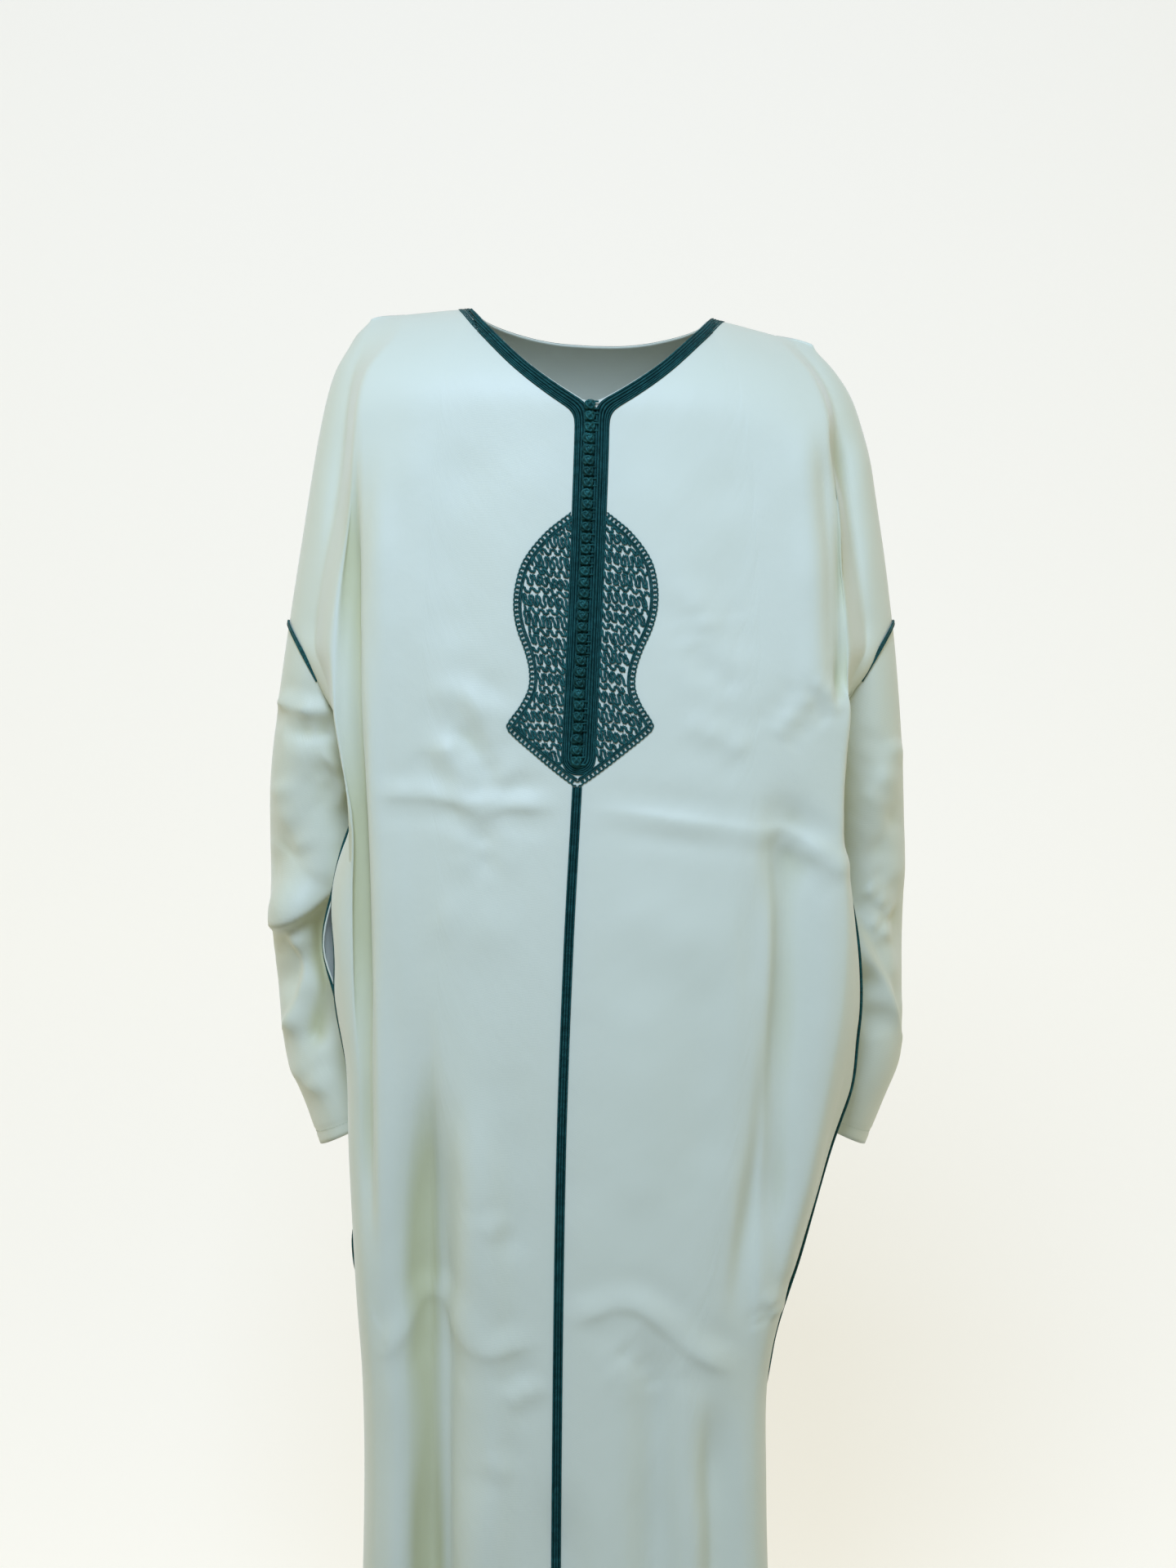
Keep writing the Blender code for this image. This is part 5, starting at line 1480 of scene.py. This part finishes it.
def edge_line(inset):
    """The medallion's outline in the flat, moved inwards, for x above 0."""
    z = np.linspace(MEDALLION_TOP_Z, MEDALLION_LOW_Z, 260)
    line = np.stack([outline_width(z), z], -1)
    run = unit(np.gradient(line, axis=0))
    line = line + np.stack([run[:, 1], -run[:, 0]], -1) * inset
    low = np.where(line[:, 1] > PLACKET_LOW_Z + 0.004, PLACKET_HALF * 0.97, 0.0002)
    line = line[line[:, 0] > low]
    return resample(line, 0.0008)


def looped(line):
    """A cord that loops along a line, as a picot edge does."""
    lengths = np.concatenate([[0.0], np.cumsum(np.linalg.norm(np.diff(line, axis=0), axis=1))])
    s = np.arange(0.0, lengths[-1], 0.00028)
    base = np.stack([np.interp(s, lengths, column) for column in line.T], -1)
    run = unit(np.gradient(base, axis=0))
    side_way = np.stack([run[:, 1], -run[:, 0]], -1)
    turn = 2 * math.pi * s / LOOP_PITCH
    return base + run * (LOOP_REACH * np.sin(turn))[:, None] - side_way * (LOOP_REACH * np.cos(turn))[:, None]


def fill_rows(side, chance):
    """Meandering rows between the placket and the medallion's edge, tall and low ones in turn."""
    lines = []
    z_table = np.linspace(MEDALLION_TOP_Z, MEDALLION_LOW_Z, 300)
    step = z_table[0] - z_table[1]
    reach = outline_width(z_table) - FILL_INSET
    row_top, row = MEDALLION_TOP_Z - 0.003, 0
    while row_top > MEDALLION_LOW_Z:
        height = ROW_HEIGHTS[row % 2] * (0.90 + 0.2 * chance.random())
        pitch = LEG_PITCHES[row % 2]
        points, leg, x = [], 0, PLACKET_HALF + 0.0014
        while x < 0.070:
            centre = row_top - height / 2 - side * ROW_SLANT * (x - 0.035) + 0.0008 * math.sin(x * 190 + row)
            half = height * (0.47 + 0.08 * chance.random())
            band = z_table[(reach > x) & (z_table < centre + half) & (z_table > centre - half)]
            if len(band) * step > 0.0034:
                top, low = band.max() - 0.0009, band.min() + 0.0009
                lean = side * (-0.0012 - 0.0008 * chance.random()) * min((top - low) / 0.008, 1.0)
                end = [(x + lean, top), (x, (top + low) / 2), (x - lean, low)]
                points += end if leg % 2 == 0 else end[::-1]
                leg += 1
                x += pitch * (0.86 + 0.28 * chance.random())
            else:
                if len(points) > 5:
                    lines.append(points)
                points, leg = [], 0
                x += 0.0015
        if len(points) > 5:
            lines.append(points)
        row_top -= height * 0.99
        row += 1
    return lines


def meander(points, chance):
    """Rounds a zigzag into a worm-like cord."""
    points = np.array(points, float)
    line = resample(points, 0.0007)
    line = soften(line, 5)
    phase = chance.random() * 6
    s = np.arange(len(line)) * 0.0007
    line[:, 0] += 0.0003 * np.sin(s * 900 + phase)
    return line


# %% Build the two halves of the medallion
MEANDER_CORD = dict(Lean=0.66, Length=0.0042, Width=0.0021, Height=0.0022, Pitch=0.00140, Lift=0.0010)
LOOP_CORD = dict(Lean=0.62, Length=0.0026, Width=0.0014, Height=0.0018, Pitch=0.00120, Lift=0.0009)
EDGE_CORD = dict(Lean=0.55, Length=0.0028, Width=0.0014, Height=0.0020, Pitch=0.00120, Lift=0.0011)
medallions = {}
chance = np.random.default_rng(SEED)
for side in (LEFT, RIGHT):
    def placed(flat):
        flat = np.array(flat)
        points = on_front(flat * np.array([side, 1.0]))
        return points, facing_front(points), False
    meshes = lay_threads([placed(looped(edge_line(0.0026)))], TEAL, [LOOP_CORD])
    meshes += lay_threads([placed(edge_line(0.0056)), placed(edge_line(0.0073))], TEAL, [EDGE_CORD])
    fills = [placed(meander(points, chance)) for points in fill_rows(side, chance)]
    meshes += lay_threads(fills, TEAL, [MEANDER_CORD])
    medallions[side] = join("medallion_cords_" + side_name(side), meshes, TEAL)

# %% [markdown]
# ## Stitches
# A row of small stitches holds each cuff's hem and the robe's hem. The same thread tree lays them in the
# groove that the sewing draws into the cloth.

# %% Sew the hems
# The lighter colour is the stitches' painted highlight.
THREAD_IVORY = cord_material("ivory_thread", (0.60, 0.62, 0.48), (0.72, 0.73, 0.58))
STITCH = dict(Lean=0.0, Length=0.0024, Width=0.0006, Height=0.0005, Pitch=0.0034, Lift=0.0003, Jitter=0.12)


def stitch_row(name, line, outs):
    return join(name, lay_threads([(line, outs, False)], THREAD_IVORY, [STITCH]), THREAD_IVORY)


stitches, cuff_stitches = {}, {}
for panel, name in ((FRONT, "front"), (BACK, "back")):
    line, outs = PANEL_GRIDS[panel][HEM_ROW], PANEL_NORMALS[panel][HEM_ROW]
    stitches[panel] = stitch_row("hem_stitches_" + name, line[1:-1], outs[1:-1])
for side in (LEFT, RIGHT):
    grid, normals = SLEEVES[side]
    cuff_stitches[side] = stitch_row("cuff_stitches_" + side_name(side), grid[CUFF_ROW], normals[CUFF_ROW])

# %% [markdown]
# ## Camera and light
# The camera stands 2.5 m in front at belly height and looks level, as in the photo. A broad cool light
# stands beside it, and weaker warm light comes from the sides and the room, so that turned cloth looks
# yellowish.

# %% Set the camera
camera_data = bpy.data.cameras.new("camera")
camera = bpy.data.objects.new("camera", camera_data)
bpy.context.scene.collection.objects.link(camera)
camera.location = (-0.003, -2.5, -0.448)
camera.rotation_euler = (math.radians(90), 0.0, 0.0)
camera_data.sensor_width = 36.0
camera_data.lens = 59.06
camera_data.dof.use_dof = False
bpy.context.scene.camera = camera


# %% Light the robe and lay the floor
def area_light(name, location, target, size, power, colour):
    data = bpy.data.lights.new(name, "AREA")
    data.shape, data.size, data.size_y = "RECTANGLE", size[0], size[1]
    data.energy, data.color = power, colour
    light = bpy.data.objects.new(name, data)
    light.location = location
    light.rotation_euler = (Vector(target) - Vector(location)).to_track_quat("-Z", "Y").to_euler()
    bpy.context.scene.collection.objects.link(light)
    return light


MIDDLE = (0.0, 0.0, -0.55)
area_light("key", (-0.30, -2.25, 1.40), (0.0, 0.0, -0.3), (1.1, 1.1), 89.0, (0.50, 0.665, 1.0))
area_light("fill", (1.6, -2.4, 0.2), MIDDLE, (1.8, 1.8), 7.5, (0.56, 0.74, 1.0))
area_light("warm_left", (-2.4, -0.2, 0.0), MIDDLE, (1.2, 2.0), 9.0, (1.0, 0.97, 0.55))
area_light("warm_right", (2.4, -0.2, 0.0), MIDDLE, (1.2, 2.0), 8.0, (1.0, 0.97, 0.55))

bpy.context.scene.view_settings.view_transform = "Standard"
bpy.context.scene.view_settings.look = "None"
world = bpy.data.worlds.new("room")
bpy.context.scene.world = world
world.use_nodes = True
world.node_tree.nodes["Background"].inputs[0].default_value = (1.0, 1.0, 0.80, 1.0)
world.node_tree.nodes["Background"].inputs[1].default_value = 0.175

FLOOR_Z = -1.52
BACKDROP_Y = 1.6
profile = [(-4.0, FLOOR_Z)]
for i in range(13):
    turn = math.pi / 2 * i / 12
    profile.append((BACKDROP_Y - 0.8 + 0.8 * math.sin(turn), FLOOR_Z + 0.8 - 0.8 * math.cos(turn)))
profile.append((BACKDROP_Y, 3.0))
sweep = [(x, y, z) for y, z in profile for x in (-9.0, 9.0)]
paper, paper_tree, paper_shader = shader_of("pale_paper")
paper_shader.inputs["Base Color"].default_value = (0.45, 0.45, 0.42, 1.0)
paper_shader.inputs["Emission Color"].default_value = (0.615, 0.59, 0.535, 1.0)
paper_place = add_node(paper_tree, "ShaderNodeTexCoord")
paper_parts = add_node(paper_tree, "ShaderNodeSeparateXYZ")
paper_glow = add_node(paper_tree, "ShaderNodeMapRange")
paper_glow.inputs["From Min"].default_value, paper_glow.inputs["From Max"].default_value = 0.1, 0.9
paper_tree.links.new(paper_place.outputs["Object"], paper_parts.inputs["Vector"])
paper_tree.links.new(paper_parts.outputs["Y"], paper_glow.inputs["Value"])
paper_tree.links.new(paper_glow.outputs["Result"], paper_shader.inputs["Emission Strength"])
paper_shader.inputs["Roughness"].default_value = 0.9
paper_side = add_node(paper_tree, "ShaderNodeNewGeometry")
paper_clear = add_node(paper_tree, "ShaderNodeBsdfTransparent")
paper_mix = add_node(paper_tree, "ShaderNodeMixShader")
paper_tree.links.new(paper_side.outputs["Backfacing"], paper_mix.inputs[0])
paper_tree.links.new(paper_shader.outputs["BSDF"], paper_mix.inputs[1])
paper_tree.links.new(paper_clear.outputs["BSDF"], paper_mix.inputs[2])
paper_tree.links.new(paper_mix.outputs["Shader"], paper_tree.nodes["Material Output"].inputs["Surface"])
strips = [(2 * i, 2 * i + 1, 2 * i + 3, 2 * i + 2) for i in range(len(profile) - 1)]
floor = new_object("floor", sweep, strips, paper)

# %% Attach each piece to the root and hide the imported nodes that it replaces
def finish_piece(obj, slot, *nodes):
    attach(obj, "root")
    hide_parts(*nodes)


finish_piece(front, "cloth", "front")
finish_piece(braid_ribs, "braid", "neck_braid")
finish_piece(braid_bands, "braid", "placket_braid_left", "placket_braid_right")
finish_piece(back, "cloth", "back")
finish_piece(stitches[FRONT], "cloth", "front")
finish_piece(stitches[BACK], "cloth", "back")
finish_piece(centre_braid, "braid", "centre_braid")
finish_piece(knots, "braid", *["knot_%02d" % (i + 1) for i in range(KNOT_COUNT)])
for side in (LEFT, RIGHT):
    name = side_name(side)
    finish_piece(SLEEVE_PIECES[side], "cloth", "sleeve_" + name)
    finish_piece(cuff_stitches[side], "cloth", "sleeve_" + name)
    finish_piece(medallions[side], "braid", "medallion_" + name)
    finish_piece(armhole_cords[side], "braid", "armhole_piping_" + name)
    finish_piece(side_cords[side, FRONT], "braid", "side_piping_%s_front" % name)
    finish_piece(side_cords[side, BACK], "braid", "side_piping_%s_back" % name)

# %% [markdown]
# ## Pieces on the front
# The pieces that lie on the front are gathered in one list.

on_front = [braid_ribs, braid_bands, centre_braid, knots, stitches[FRONT],
            medallions[LEFT], medallions[RIGHT], side_cords[LEFT, FRONT], side_cords[RIGHT, FRONT]]
for side in (LEFT, RIGHT):
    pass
